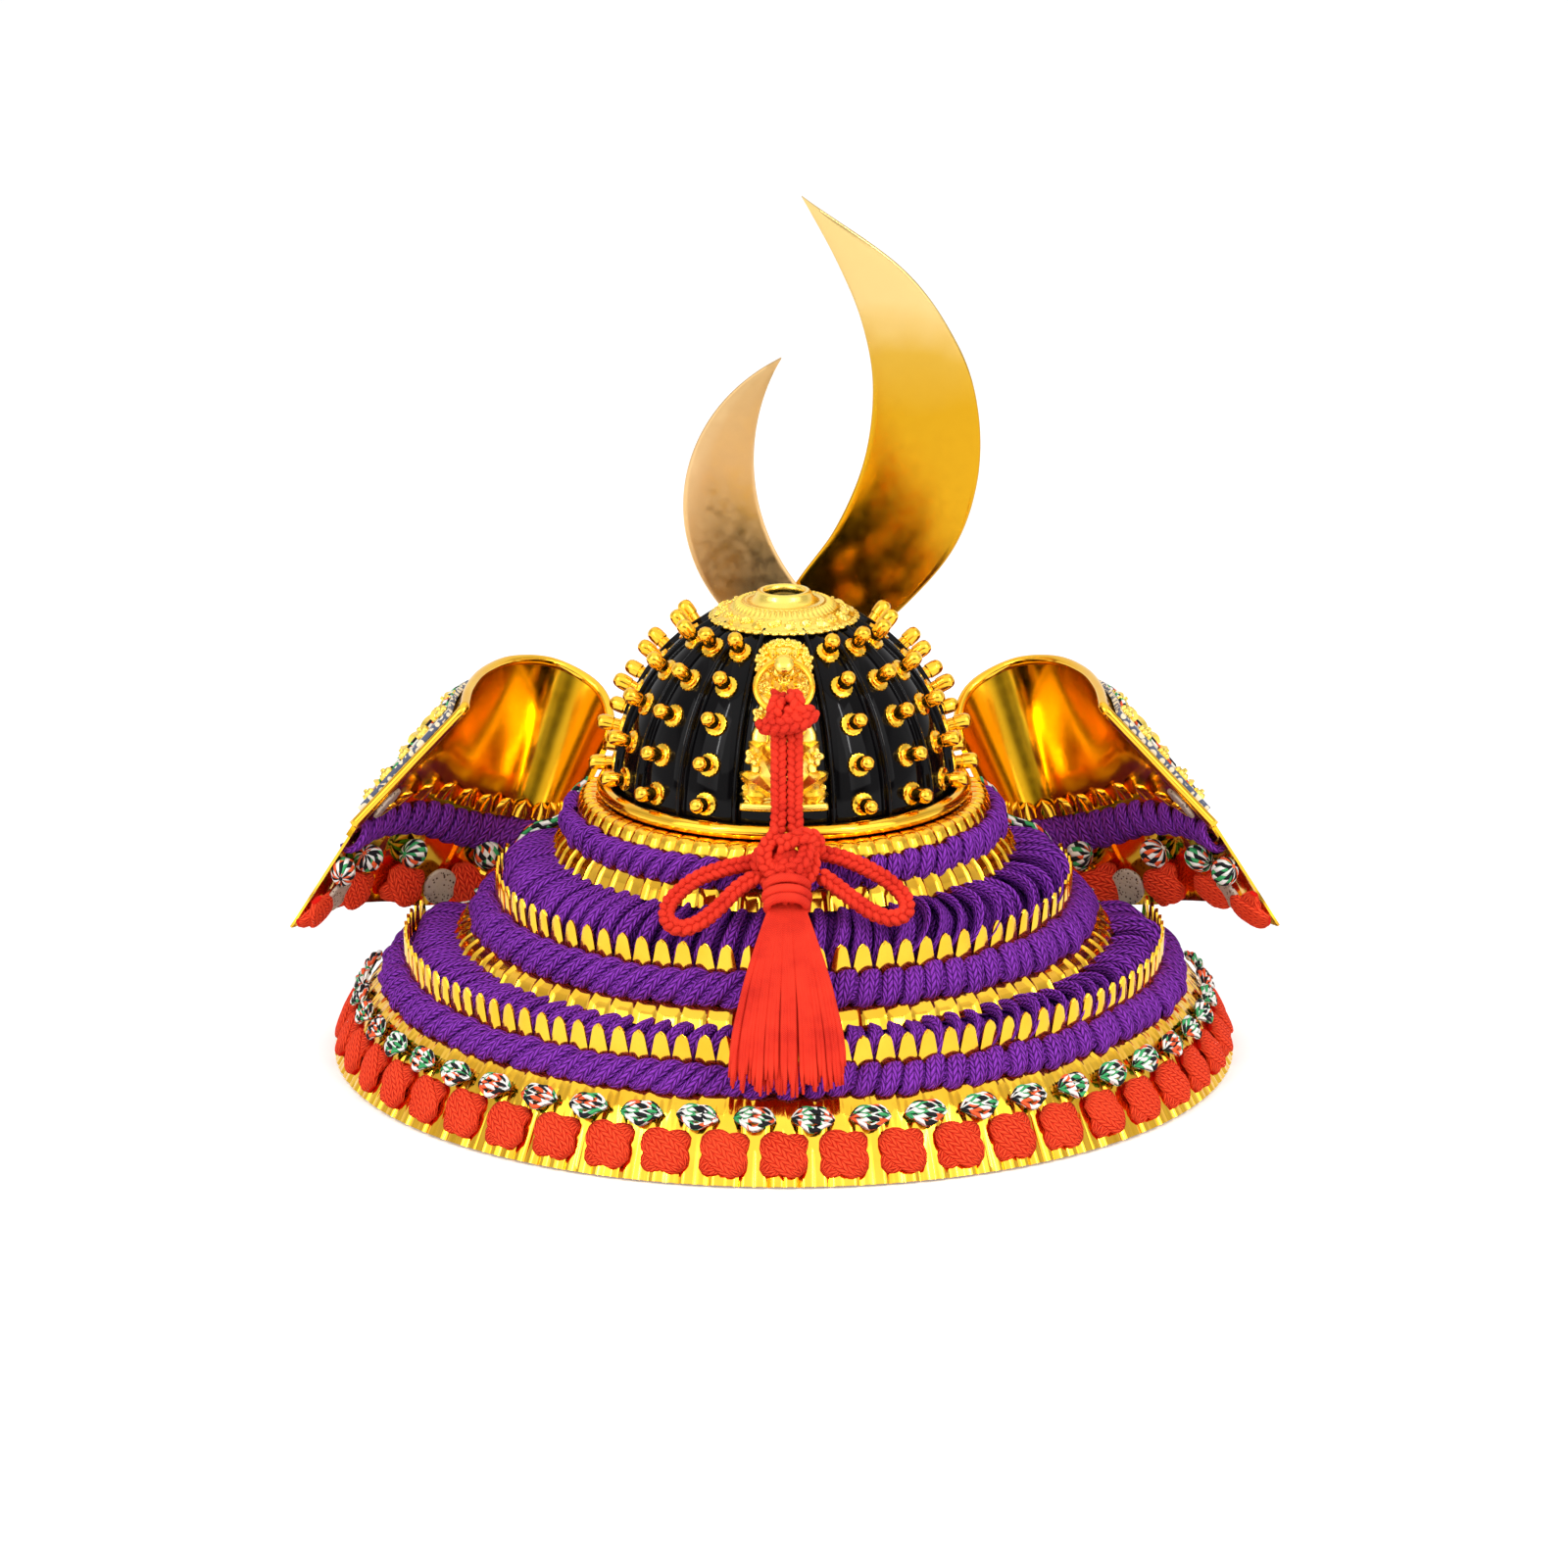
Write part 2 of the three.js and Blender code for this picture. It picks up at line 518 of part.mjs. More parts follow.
function patch(degrees) {
  const box = new THREE.BoxGeometry(PATCHES.wide, PATCHES.tall, PATCHES.thick);
  const [skirtTop, foot] = LAME_3.slice(-2);
  const { along, up, out } = frameAround(degrees, skirtTop.r - foot.r, skirtTop.z - foot.z);
  return placed(box, around(degrees, PATCHES.r, PATCHES.z), along, up, out);
}

function buildLames() {
  const first = turnedSheet(LAME_1, offsetProfile(LAME_1, SHEET), LAME_END, LAME_SEGMENTS);
  addPiece('lame_1', first, GOLD);
  addPiece('lame_2', leafedSheet(LAME_2, TIPS_2), GOLD);
  const lacing = [];
  for (let k = -PATCHES.perSide; k <= PATCHES.perSide; k += 1) {
    lacing.push(patch(k * PATCHES.pitch));
  }
  addPiece('lame_3', join([leafedSheet(LAME_3, TIPS_3), ...lacing]), GOLD);
}

// Flat oval section that swells at every strand of the rope.
function ropeLacing({ r, z, thick, tall, slope, strands }) {
  const sides = 5;
  const rings = Array.from({ length: strands + 1 }, (_, k) => {
    const swell = k % 2 === 0 ? 1 : 0.86;
    return Array.from({ length: sides }, (_unused, i) => {
      const turn = (2 * Math.PI * (i + 0.5)) / sides;
      const across = thick * Math.cos(turn) * swell;
      const along = tall * Math.sin(turn) * swell;
      const [cos, sin] = [Math.cos(rad(slope)), Math.sin(rad(slope))];
      const angle = -LAME_END + (2 * LAME_END * k) / strands;
      return around(angle, r + across * sin - along * cos, z + across * cos + along * sin);
    });
  });
  return loftRings(rings);
}

function buildLacing() {
  for (const rope of ROPES) addPiece(rope.name, ropeLacing(rope), PURPLE);
  const inner1 = offsetProfile(HANGING_1, HANGING_THICKNESS);
  const inner2 = offsetProfile(HANGING_2, HANGING_THICKNESS);
  addPiece('hanging_lacing_1', turnedSheet(HANGING_1, inner1, LAME_END, LAME_SEGMENTS), PURPLE);
  addPiece('hanging_lacing_2', turnedSheet(HANGING_2, inner2, LAME_END, LAME_SEGMENTS), PURPLE);
}

function buildEdgeCords() {
  const { radius, beyondEnd, sides, steps } = EDGE_CORD;
  for (const [side, sign] of SIDES) {
    const points = EDGE_CORD_LINE.map(({ r, z }) => {
      const beyond = THREE.MathUtils.radToDeg(beyondEnd / r);
      return around(sign * (LAME_END + beyond), r, z);
    });
    addPiece(`edge_cord_${side}`, tube(points, radius, sides, steps), BRAID);
  }
}

// ---------- wings ----------
function wingCurve(row, sign) {
  const points = WING.map((station) => {
    const [x, y, z] = station[row];
    return vec(sign * x, y, z);
  });
  return new THREE.CatmullRomCurve3(points, false, 'centripetal');
}

// Point and inward-facing normal of a wing at s and v.
function wingSurface(sign) {
  const [top, mid, end] = ['top', 'mid', 'end'].map((row) => wingCurve(row, sign));
  const pointAt = (s, v) => {
    const [upper, lower] = v <= 1 ? [top, mid] : [mid, end];
    return upper.getPoint(s).lerp(lower.getPoint(s), v <= 1 ? v : v - 1);
  };
  const normalAt = (s, v) => {
    const [before, after] = [Math.max(s - 0.02, 0), Math.min(s + 0.02, 1)];
    const along = pointAt(after, v).sub(pointAt(before, v));
    const upper = v <= 1 ? 0 : 1;
    const down = pointAt(s, upper + 0.98).sub(pointAt(s, upper + 0.02));
    return along.cross(down).normalize().multiplyScalar(-sign);
  };
  return { pointAt, normalAt };
}

// Sheet of the wing between two of its steps and two values of v, with its faces at given lifts.
function wingSheet({ pointAt, normalAt }, [first, last], [v0, v1], [liftA, liftB], rows = 2) {
  const face = (lift) => Array.from({ length: last - first + 1 }, (_, k) => {
    const s = (first + k) / WING_STEPS;
    return Array.from({ length: rows + 1 }, (_unused, i) => {
      const v = v0 + ((v1 - v0) * i) / rows;
      return pointAt(s, v).addScaledVector(normalAt(s, v), lift);
    });
  });
  return loftSheet(face(liftA), face(liftB));
}

function wingRope({ pointAt, normalAt }) {
  const { v, thick, tall, start, end, sides } = WING_ROPE;
  const rings = Array.from({ length: WING_STEPS + 1 }, (_, k) => {
    const s = start + ((end - start) * k) / WING_STEPS;
    const out = normalAt(s, v);
    const up = pointAt(s, v - 0.14).sub(pointAt(s, v + 0.16)).normalize();
    return Array.from({ length: sides }, (_unused, i) => {
      const turn = (2 * Math.PI * (i + 0.5)) / sides;
      return pointAt(s, v)
        .addScaledVector(out, thick * Math.cos(turn))
        .addScaledVector(up, tall * Math.sin(turn));
    });
  });
  return loftRings(rings);
}

// Edge roll along the top of the wing and down its free edge, as far as the panel goes.
function wingTrim({ pointAt }) {
  const lift = WING_TRIM_RADIUS + 2 * CLEARANCE;
  const above = (s) => pointAt(s, 0).sub(pointAt(s, 0.2)).normalize();
  const beyond = (v) => pointAt(1, v).sub(pointAt(0.97, v)).normalize();
  const points = [];
  for (let k = 1; k < WING_STEPS; k += 1) {
    const s = k / WING_STEPS;
    points.push(pointAt(s, 0).addScaledVector(above(s), lift));
  }
  points.push(pointAt(1, 0).addScaledVector(above(1), lift).addScaledVector(beyond(0), lift * 0.9));
  for (const v of [0.12, 0.5, 1]) points.push(pointAt(1, v).addScaledVector(beyond(v), lift));
  return polylineTube(points, WING_TRIM_RADIUS, 5);
}

// Body standing on the inner face of the wing: its own z points out of that face.
function onWing({ pointAt, normalAt }, geometry, s, v, lift) {
  const out = normalAt(s, v);
  const up = pointAt(s, v - 0.05).sub(pointAt(s, v + 0.05)).normalize();
  const along = up.clone().cross(out).normalize();
  const trueUp = out.clone().cross(along);
  return placed(geometry, pointAt(s, v).addScaledVector(out, lift), along, trueUp, out);
}

function wingBoss(wing, leatherFace) {
  const { s, v, radius, topRadius, height, gap, sides } = WING_BOSS;
  const boss = new THREE.CylinderGeometry(topRadius, radius, height, sides).rotateX(-Math.PI / 2);
  return onWing(wing, boss, s, v, leatherFace - gap - height / 2);
}

function wingDisc(wing, s, v) {
  const { radius, thickness, sides, lift } = WING_DISC;
  const disc = new THREE.CylinderGeometry(radius, radius, thickness, sides).rotateX(Math.PI / 2);
  return onWing(wing, disc, s, v, SHEET / 2 + lift + thickness / 2);
}

function buildWing(side, sign) {
  const wing = wingSurface(sign);
  const half = SHEET / 2;
  const whole = [0, WING_STEPS];
  addPiece(`wing_panel_${side}`, wingSheet(wing, whole, [0, 1], [-half, half]), GOLD);
  addPiece(`wing_trim_${side}`, wingTrim(wing), GOLD);
  addPiece(`wing_rope_${side}`, wingRope(wing), PURPLE);
  addPiece(`wing_band_${side}`, wingSheet(wing, whole, [WING_BAND_TOP, 2], [-half, half]), GOLD);
  const { thickness, gap, firstStep, top, bottom } = LEATHER;
  const faces = [-half - gap, -half - gap - thickness];
  const leather = wingSheet(wing, [firstStep, WING_STEPS], [top, bottom], faces);
  addPiece(`wing_leather_${side}`, leather, HIDE);
  addPiece(`wing_ornament_${side}`, wingBoss(wing, faces[1]), GOLD);
  WING_DISCS.forEach(({ s, v }, k) => {
    addPiece(`wing_disc_${k + 1}_${side}`, wingDisc(wing, s, v), GREY);
  });
}

// ---------- visor and crest ----------
function visorPoint(degreesFromFront, across) {
  const taper = Math.cos(rad((90 * degreesFromFront) / (VISOR.end + 4))) ** 1.3;
  const r = VISOR.innerR + VISOR.reach * taper * across;
  return around(180 - degreesFromFront, r, VISOR.innerZ - VISOR.drop * taper * across ** 1.4);
}

function buildVisor() {
  const { end, steps, thick } = VISOR;
  const angles = Array.from({ length: steps + 1 }, (_, k) => -end + (2 * end * k) / steps);
  const face = (depth) => angles.map((angle) => [0, 0.35, 0.7, 1].map((across) => {
    const point = visorPoint(angle, across);
    return point.setZ(point.z - depth);
  }));
  addPiece('visor', loftSheet(face(0), face(thick)), BLACK);
  const edge = angles.map((angle) => {
    const point = visorPoint(angle, 1).add(around(180 - angle, VISOR_TRIM.beyond, 0));
    return point.setZ(point.z - thick / 2);
  });
  addPiece('visor_trim', tube(edge, VISOR_TRIM.radius, VISOR_TRIM.sides, VISOR_TRIM.steps), GOLD);
}

// Blade in its own plane: x to the side, y up the leaning plane from the holder.
function blade(outline, curveSegments, y) {
  const { thickness } = BLADE;
  const options = { depth: thickness, bevelEnabled: false, curveSegments };
  const body = new THREE.ExtrudeGeometry(outline, options).translate(0, 0, -thickness / 2);
  const lean = rad(BLADE.lean);
  const up = vec(0, -Math.sin(lean), Math.cos(lean));
  const across = vec(1, 0, 0);
  return placed(body, vec(0, y, BLADE.footZ), across, up, across.clone().cross(up));
}

function flatPoints(pairs) {
  return pairs.map(([x, y]) => new THREE.Vector2(x, y));
}

function longBladeOutline() {
  const outline = new THREE.Shape();
  outline.moveTo(-5, 3);
  outline.lineTo(3, 3);
  outline.splineThru(flatPoints([
    [13, 15.6], [26.5, 27.6], [37.6, 41.8], [42.6, 58], [42.4, 75], [37.6, 90.2], [26, 107],
    [3.8, 123.8],
  ]));
  outline.splineThru(flatPoints([
    [11.6, 108.4], [17, 94.4], [19.4, 79.6], [17.6, 62.6], [11.4, 46.6], [2.6, 33.4], [-6, 18],
  ]));
  return outline;
}

function shortBladeOutline() {
  const outline = new THREE.Shape();
  outline.moveTo(-4, 3);
  outline.lineTo(4, 3);
  outline.lineTo(9.6, 22);
  outline.absarc(43.7, 62.8, 50.3, rad(-137), rad(-208.4), true);
  outline.absarc(16.7, 51.9, 38.9, rad(116.4), rad(217), false);
  return outline;
}

function buildCrest() {
  const shortBladeY = BLADE.y - BLADE.thickness - CLEARANCE;
  addPiece('crest_long_blade', blade(longBladeOutline(), 3, BLADE.y), GOLD);
  addPiece('crest_short_blade', blade(shortBladeOutline(), 9, shortBladeY), GOLD);
  const side = new THREE.Shape(HOLDER_SIDE.map(({ y, z }) => new THREE.Vector2(y, z)));
  const foot = new THREE.ExtrudeGeometry(side, { depth: HOLDER_WIDTH, bevelEnabled: false });
  placed(foot, vec(-HOLDER_WIDTH / 2, 0, 0), vec(0, 1, 0), vec(0, 0, 1), vec(1, 0, 0));
  addPiece('crest_holder', foot, GOLD);
}

// ---------- tied cord ----------
function roundedBlock({ wide, tall, deep }) {
  return new THREE.SphereGeometry(0.5, 8, 5).scale(wide, deep, tall);
}

function buildCord() {
  for (const [side, sign] of SIDES) {
    const x = CORD_MIDDLE_X + sign * STRAND_SPACING;
    const points = STRAND.map(([dx, y, z]) => vec(x + dx, y, z));
    addPiece(`cord_strand_${side}`, tube(points, CORD_RADIUS, CORD_SIDES, 5), RED);
  }
  const loops = { left: LOOP_LEFT, right: LOOP_RIGHT };
  for (const [side, points] of Object.entries(loops)) {
    addPiece(`cord_loop_${side}`, tube(points.map((p) => vec(...p)), CORD_RADIUS, CORD_SIDES, 10), RED);
  }
  const knot = roundedBlock(KNOT).translate(CORD_MIDDLE_X, KNOT.y, KNOT.z);
  addPiece('cord_knot', knot, RED);
  const hitch = roundedBlock(HITCH).translate(CORD_MIDDLE_X, HITCH.y, HITCH.z);
  addPiece('cord_hitch', hitch, RED);
}

// Tassel: one fan of rounded locks side by side, with uneven ends, below a head.
function buildTassel() {
  const stops = 2 * TASSEL_LOCKS;
  const rings = TASSEL_LINE.map(({ y, z, half, deep }, i) => {
    const before = TASSEL_LINE[Math.max(i - 1, 0)];
    const after = TASSEL_LINE[Math.min(i + 1, TASSEL_LINE.length - 1)];
    const run = vec(0, after.y - before.y, after.z - before.z).normalize();
    const out = run.clone().cross(vec(-1, 0, 0));
    const isEnd = i === TASSEL_LINE.length - 1;
    const at = (side, rise, pullBack) => vec(CORD_MIDDLE_X + side * half, y, z)
      .addScaledVector(out, rise * deep).addScaledVector(run, -pullBack);
    const face = Array.from({ length: stops + 1 }, (_, k) => {
      const isLock = k % 2 === 1;
      return at((2 * k) / stops - 1, isLock ? 1 : 0.3, isEnd && !isLock ? 1.6 : 0);
    });
    return [...face, at(0.95, -0.7, 0), at(-0.95, -0.7, 0)];
  });
  const head = roundedBlock(TASSEL_HEAD).translate(CORD_MIDDLE_X, TASSEL_HEAD.y, TASSEL_HEAD.z);
  addPiece('tassel', join([head, loftFluted(rings)]), RED);
}

buildBowl();
buildCrownMount();
buildHoop();
buildRearPlate();
buildRing();
buildLames();
buildLacing();
buildEdgeCords();
for (const [side, sign] of SIDES) buildWing(side, sign);
buildVisor();
buildCrest();
buildCord();
buildTassel();
helmet.position.y = BOWL_AXIS_Y;

const scene = new THREE.Group();
scene.add(helmet);
export default scene;
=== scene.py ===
"""Dresses a display-size kabuto helmet over its frame: gilt, lacquer, knitted lacing and cord.

Lengths are millimetres from the bowl's upright axis until a piece is made, and angles round the
helmet are degrees from the back, growing towards +X.
"""
import logging
import math
from dataclasses import dataclass, field
from enum import Enum
from functools import partialmethod
from typing import Callable, Sequence

import bpy
import bmesh
import numpy as np
from mathutils import Matrix, Vector


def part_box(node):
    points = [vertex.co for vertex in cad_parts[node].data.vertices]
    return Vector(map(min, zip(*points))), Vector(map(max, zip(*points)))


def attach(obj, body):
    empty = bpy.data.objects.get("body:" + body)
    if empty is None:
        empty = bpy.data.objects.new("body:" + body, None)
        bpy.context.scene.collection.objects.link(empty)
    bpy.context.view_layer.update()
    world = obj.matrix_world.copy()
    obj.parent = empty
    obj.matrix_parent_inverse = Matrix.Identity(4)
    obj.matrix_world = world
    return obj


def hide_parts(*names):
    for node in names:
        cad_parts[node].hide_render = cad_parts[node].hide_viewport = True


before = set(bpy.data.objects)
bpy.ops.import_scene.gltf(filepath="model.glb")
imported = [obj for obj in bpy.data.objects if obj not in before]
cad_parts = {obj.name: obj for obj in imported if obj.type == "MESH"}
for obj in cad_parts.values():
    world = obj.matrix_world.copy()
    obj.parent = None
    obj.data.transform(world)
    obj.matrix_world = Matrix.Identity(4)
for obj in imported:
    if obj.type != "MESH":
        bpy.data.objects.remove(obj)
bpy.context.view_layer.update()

MM = 0.001
HOOP_LOW, HOOP_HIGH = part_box("rim_hoop")
AXIS = Vector((0.0, (HOOP_LOW.y + HOOP_HIGH.y) / 2, 0.0))
LAME_END = 106.0  # degrees from the back where the hoops of the neck guard stop
LACE_UV = "lay"  # name of the map that runs along and across a lace, in millimetres
SIDES = {"left": -1, "right": 1}
UP = np.array([0.0, 0.0, 1.0])
ACROSS = np.array([1.0, 0.0, 0.0])

Points = np.ndarray
Surface = Callable[[Points, Points, Points], Points]
log = logging.getLogger("kabuto")


class Slot(Enum):
    """The record's material slots."""

    LACQUER = "black_lacquer"
    GILT = "gilt"
    SATIN = "gilt_satin"
    PURPLE = "purple_lacing"
    RED = "red_cord"
    MIXED = "mixed_braid"
    LEATHER = "printed_leather"
    STUD = "grey_studs"


# ---------- node trees ----------
class Value:
    """One output in a node tree; reckoning with it adds math nodes."""

    def __init__(self, bench: "Bench", socket: bpy.types.NodeSocket) -> None:
        """Takes the bench that the tree is worked on with, and the output."""
        self.bench, self.socket = bench, socket

    def to(self, operation: str, *others: object) -> "Value":
        """The result of a math node on this value and others."""
        return self.bench.math(operation, self, *others)

    __add__ = partialmethod(to, "ADD")
    __sub__ = partialmethod(to, "SUBTRACT")
    __mul__ = partialmethod(to, "MULTIPLY")
    __truediv__ = partialmethod(to, "DIVIDE")
    __pow__ = partialmethod(to, "POWER")
    __abs__ = partialmethod(to, "ABSOLUTE")


class Bench:
    """Short ways to add, set and link the nodes of one tree."""

    def __init__(self, tree: bpy.types.NodeTree) -> None:
        """Takes the shader or geometry node tree that is worked on."""
        self.tree = tree

    def feed(self, socket: bpy.types.NodeSocket, value: object) -> None:
        """Links an input to an output, or gives it a constant."""
        if isinstance(value, Value):
            self.tree.links.new(value.socket, socket)
        elif isinstance(value, bpy.types.NodeSocket):
            self.tree.links.new(value, socket)
        else:
            socket.default_value = value

    def fill(self, node: bpy.types.Node, given: dict[object, object]) -> None:
        """Feeds a node's inputs, by name or place."""
        for key, value in given.items():
            self.feed(node.inputs[key], value)

    def add(self, kind: str, given: dict[object, object] | None = None, **settings: object) -> bpy.types.Node:
        """Adds a node.

        Args:
            kind: the node's type.
            given: what its inputs are fed, by name or place.
            settings: attributes to set on it.

        Returns:
            The new node.
        """
        node = self.tree.nodes.new(kind)
        for key, value in settings.items():
            setattr(node, key, value)
        self.fill(node, given or {})
        return node

    def value(self, kind: str, given: dict[object, object] | None = None, out: object = 0,
              **settings: object) -> Value:
        """Adds a node, as above, and gives one of its outputs."""
        return Value(self, self.add(kind, given, **settings).outputs[out])

    def math(self, operation: str, *values: object) -> Value:
        """The result of a math node on numbers and values."""
        return self.value("ShaderNodeMath", dict(enumerate(values)), operation=operation)

    def ramp(self, factor: Value, stops: Sequence[tuple], mode: str = "LINEAR") -> Value:
        """Adds a colour ramp.

        Args:
            factor: what drives it.
            stops: (position, colour) pairs in order.
            mode: its interpolation.

        Returns:
            The colour.
        """
        node = self.add("ShaderNodeValToRGB", {0: factor})
        node.color_ramp.interpolation = mode
        elements = node.color_ramp.elements
        while len(elements) < len(stops):
            elements.new(1.0)
        for element, (position, colour) in zip(elements, stops):
            element.position = position
            element.color = (*colour, 1.0)
        return Value(self, node.outputs[0])

    def place(self) -> Value:
        """Object coordinates."""
        return self.value("ShaderNodeTexCoord", out="Object")

    def noise(self, scale: float, detail: float = 2.0) -> Value:
        """Noise on Object coordinates."""
        return self.value("ShaderNodeTexNoise", {"Scale": scale, "Detail": detail, "Vector": self.place()})

    def cells(self, scale: float, randomness: float = 1.0) -> Value:
        """Distance from the nearest of scattered points, on Object coordinates."""
        given = {"Scale": scale, "Randomness": randomness, "Vector": self.place()}
        return self.value("ShaderNodeTexVoronoi", given, "Distance", feature="F1")

    def bump(self, height: Value, millimetres: float) -> Value:
        """The normal over a relief whose height goes from 0 to 1."""
        return self.value("ShaderNodeBump", {"Distance": millimetres * MM, "Strength": 1.0, "Height": height})

    def split(self, vector: Value) -> list[Value]:
        """The three parts of a vector."""
        return [Value(self, part) for part in self.add("ShaderNodeSeparateXYZ", {0: vector}).outputs]

    def lay(self) -> list[Value]:
        """The millimetres along and across a lace."""
        return self.split(self.value("ShaderNodeUVMap", uv_map=LACE_UV))[:2]


# ---------- finishes ----------
@dataclass(frozen=True)
class Finish:
    """What every finish has: a name and the record's slot that it belongs to."""

    name: str
    slot: Slot

    def material(self) -> bpy.types.Material:
        """Makes the material once, and hands out the same one after that."""
        name = "finish_" + self.name
        made = bpy.data.materials.get(name)
        if not made:
            made = bpy.data.materials.new(name)
            made.use_nodes = True
            bench = Bench(made.node_tree)
            bench.fill(made.node_tree.nodes["Principled BSDF"], self.look(bench))
        return made

    def look(self, bench: Bench) -> dict[str, object]:
        """What the shader's inputs are fed; each finish has its own way.

        Args:
            bench: for the material's nodes.

        Returns:
            A constant or value for each input, by its name.
        """
        raise NotImplementedError


@dataclass(frozen=True)
class Gilt(Finish):
    """Plated sheet metal, from mirror-bright to satin."""

    colour: tuple[float, float, float] = (1.0, 0.59, 0.05)
    shade: tuple[float, float, float] = (0.93, 0.48, 0.03)
    roughness: float = 0.13
    wave: float = 0.05
    grain: float = 0.0

    def look(self, bench: Bench) -> dict[str, object]:
        """Uneven plating, soft dents and, on satin sheet, a fine grain."""
        height = bench.noise(160.0, 1.0)
        if self.grain:
            height = height + bench.noise(5200.0, 1.0) * self.grain
        return {
            "Base Color": bench.ramp(bench.noise(90.0, 3.0), [(0.3, self.shade), (0.7, self.colour)]),
            "Metallic": 1.0,
            "Roughness": bench.noise(420.0).to("MULTIPLY_ADD", self.roughness * 0.9, self.roughness * 0.55),
            "Normal": bench.bump(height, self.wave),
        }


@dataclass(frozen=True)
class GradedGilt(Gilt):
    """Plated blade whose colour is graded by height, as painted reflection."""

    foot: float = 0.10
    tip: float = 0.18
    # default grading for the long blade: deeper amber low down and paler near its tip, painted reflection of the dark
    # bowl and the bright room
    tints: tuple = (
        (0, (0.70, 0.35, 0.012)), (0.42, (0.61, 0.32, 0.012)), (0.58, (0.62, 0.36, 0.04)),
        (0.72, (0.75, 0.53, 0.20)),
    )

    def look(self, bench: Bench) -> dict[str, object]:
        """The plain gilt, with its colour set by height as painted reflection."""
        drift = bench.noise(45.0, 3.0).to("MULTIPLY_ADD", 0.014, -0.007 - self.foot)
        share = (bench.split(bench.place())[2] + drift) / (self.tip - self.foot)
        return super().look(bench) | {"Base Color": bench.ramp(share, self.tints)}


@dataclass(frozen=True)
class Lacquer(Finish):
    """Deep black gloss over metal."""

    def look(self, bench: Bench) -> dict[str, object]:
        """Near-black with a faint orange-peel."""
        tints = [(0.3, (0.0012, 0.001, 0.0014)), (0.7, (0.003, 0.0026, 0.003))]
        return {
            "Base Color": bench.ramp(bench.noise(60.0, 3.0), tints),
            "Roughness": 0.06,
            "Specular IOR Level": 0.11,
            "Normal": bench.bump(bench.noise(240.0, 1.0), 0.02),
        }


@dataclass(frozen=True)
class Knit(Finish):
    """Knitted silk lace: columns of V stitches along the lace."""

    light: tuple[float, float, float] = (0.30, 0.048, 0.53)
    # colour in the gaps between stitches: painted shade, mixed with random darker tone
    dark: tuple[float, float, float] = (0.035, 0.002, 0.075)
    column: float = 2.5
    stitch: float = 1.45
    relief: float = 0.95

    def look(self, bench: Bench) -> dict[str, object]:
        """Two legs to a stitch, with painted shade in the gaps and fuzz over them."""
        along, across = bench.lay()
        centred = abs((across / self.column).to("FRACT") - 0.5)
        leg = abs((centred * math.tau).to("SINE"))
        run = along / self.stitch + centred * 2.3
        loop = (abs((run * math.pi).to("SINE")) ** 0.8).to("MULTIPLY_ADD", 0.82, 0.18)
        height = leg ** 0.45 * loop
        # painted shade: the colour darkens with the stitch height towards the gaps, plus random tone from the noise
        tone = bench.noise(110.0).to("MULTIPLY_ADD", 0.35, height * 0.75)
        return {
            "Base Color": bench.ramp(tone, [(0.22, self.dark), (0.66, self.light)]),
            "Roughness": 0.9,
            "Specular IOR Level": 0.05,
            "Normal": bench.bump(height + bench.noise(2600.0, 3.0) * 0.35, self.relief),
        }


@dataclass(frozen=True)
class MixedBraid(Finish):
    """Plaited cord of black, white, green and red yarns, slanting across its lay."""

    yarn: float = 1.1
    float_length: float = 2.3
    yarns: tuple = (
        (0, (0.86, 0.84, 0.78)), (0.34, (0.012, 0.012, 0.014)), (0.70, (0.05, 0.36, 0.12)),
        (0.85, (0.85, 0.11, 0.03)),
    )

    def look(self, bench: Bench) -> dict[str, object]:
        """Slanted cells, each with one yarn's colour and a rounded back."""
        along, across = bench.lay()
        row = across / self.yarn
        step = (along + across * 0.75) / self.float_length + row.to("FLOOR") * 0.5
        change = (bench.noise(70.0, 0.0) * 12.0).to("FLOOR")
        turn = row.to("FLOOR").to("MULTIPLY_ADD", 0.29, change * 0.13)
        pick = step.to("FLOOR").to("MULTIPLY_ADD", 0.382, turn).to("FRACT")
        rounding, ends = ((place.to("FRACT") * math.pi).to("SINE") for place in (row, step))
        return {
            "Base Color": bench.ramp(pick, self.yarns, "CONSTANT"),
            "Roughness": 0.8,
            "Specular IOR Level": 0.15,
            "Normal": bench.bump(rounding ** 0.6 * ends ** 0.4 + bench.noise(3000.0) * 0.2, 0.35),
        }


@dataclass(frozen=True)
class Yarn(Finish):
    """Twisted yarn in one colour: fine slanting fibres along each stitch or thread."""

    light: tuple[float, float, float] = (0.86, 0.045, 0.018)
    # colour between the fibres: painted shade, mixed with random darker tone
    dark: tuple[float, float, float] = (0.45, 0.008, 0.006)
    twist: float = 0.45

    def look(self, bench: Bench) -> dict[str, object]:
        """Fibres wound at a slant, with a soft random change of tone and painted shade between the fibres."""
        along, across = bench.lay()
        fibre = ((along + across * 1.2) / (self.twist / math.tau)).to("SINE")
        height = fibre.to("MULTIPLY_ADD", 0.5, 0.5)
        # painted shade along the fibre grooves, plus random tone from the noise
        tone = bench.noise(150.0).to("MULTIPLY_ADD", 0.6, height * 0.35)
        return {
            "Base Color": bench.ramp(tone, [(0.2, self.dark), (0.62, self.light)]),
            "Roughness": 0.75,
            "Specular IOR Level": 0.12,
            "Normal": bench.bump(height, 0.06),
        }


@dataclass(frozen=True)
class PrintedLeather(Finish):
    """Pale hide printed with small dark motifs, all alike."""

    def look(self, bench: Bench) -> dict[str, object]:
        """Dark rings and dots on cream, over a fine hide grain."""
        ring = (bench.cells(480.0, 0.35) * 3.2).to("PINGPONG", 1.0)
        return {
            "Base Color": bench.ramp(ring, [(0.30, (0.07, 0.09, 0.16)), (0.42, (0.78, 0.70, 0.52))]),
            "Roughness": 0.55,
            "Normal": bench.bump(bench.noise(1500.0, 3.0), 0.06),
        }


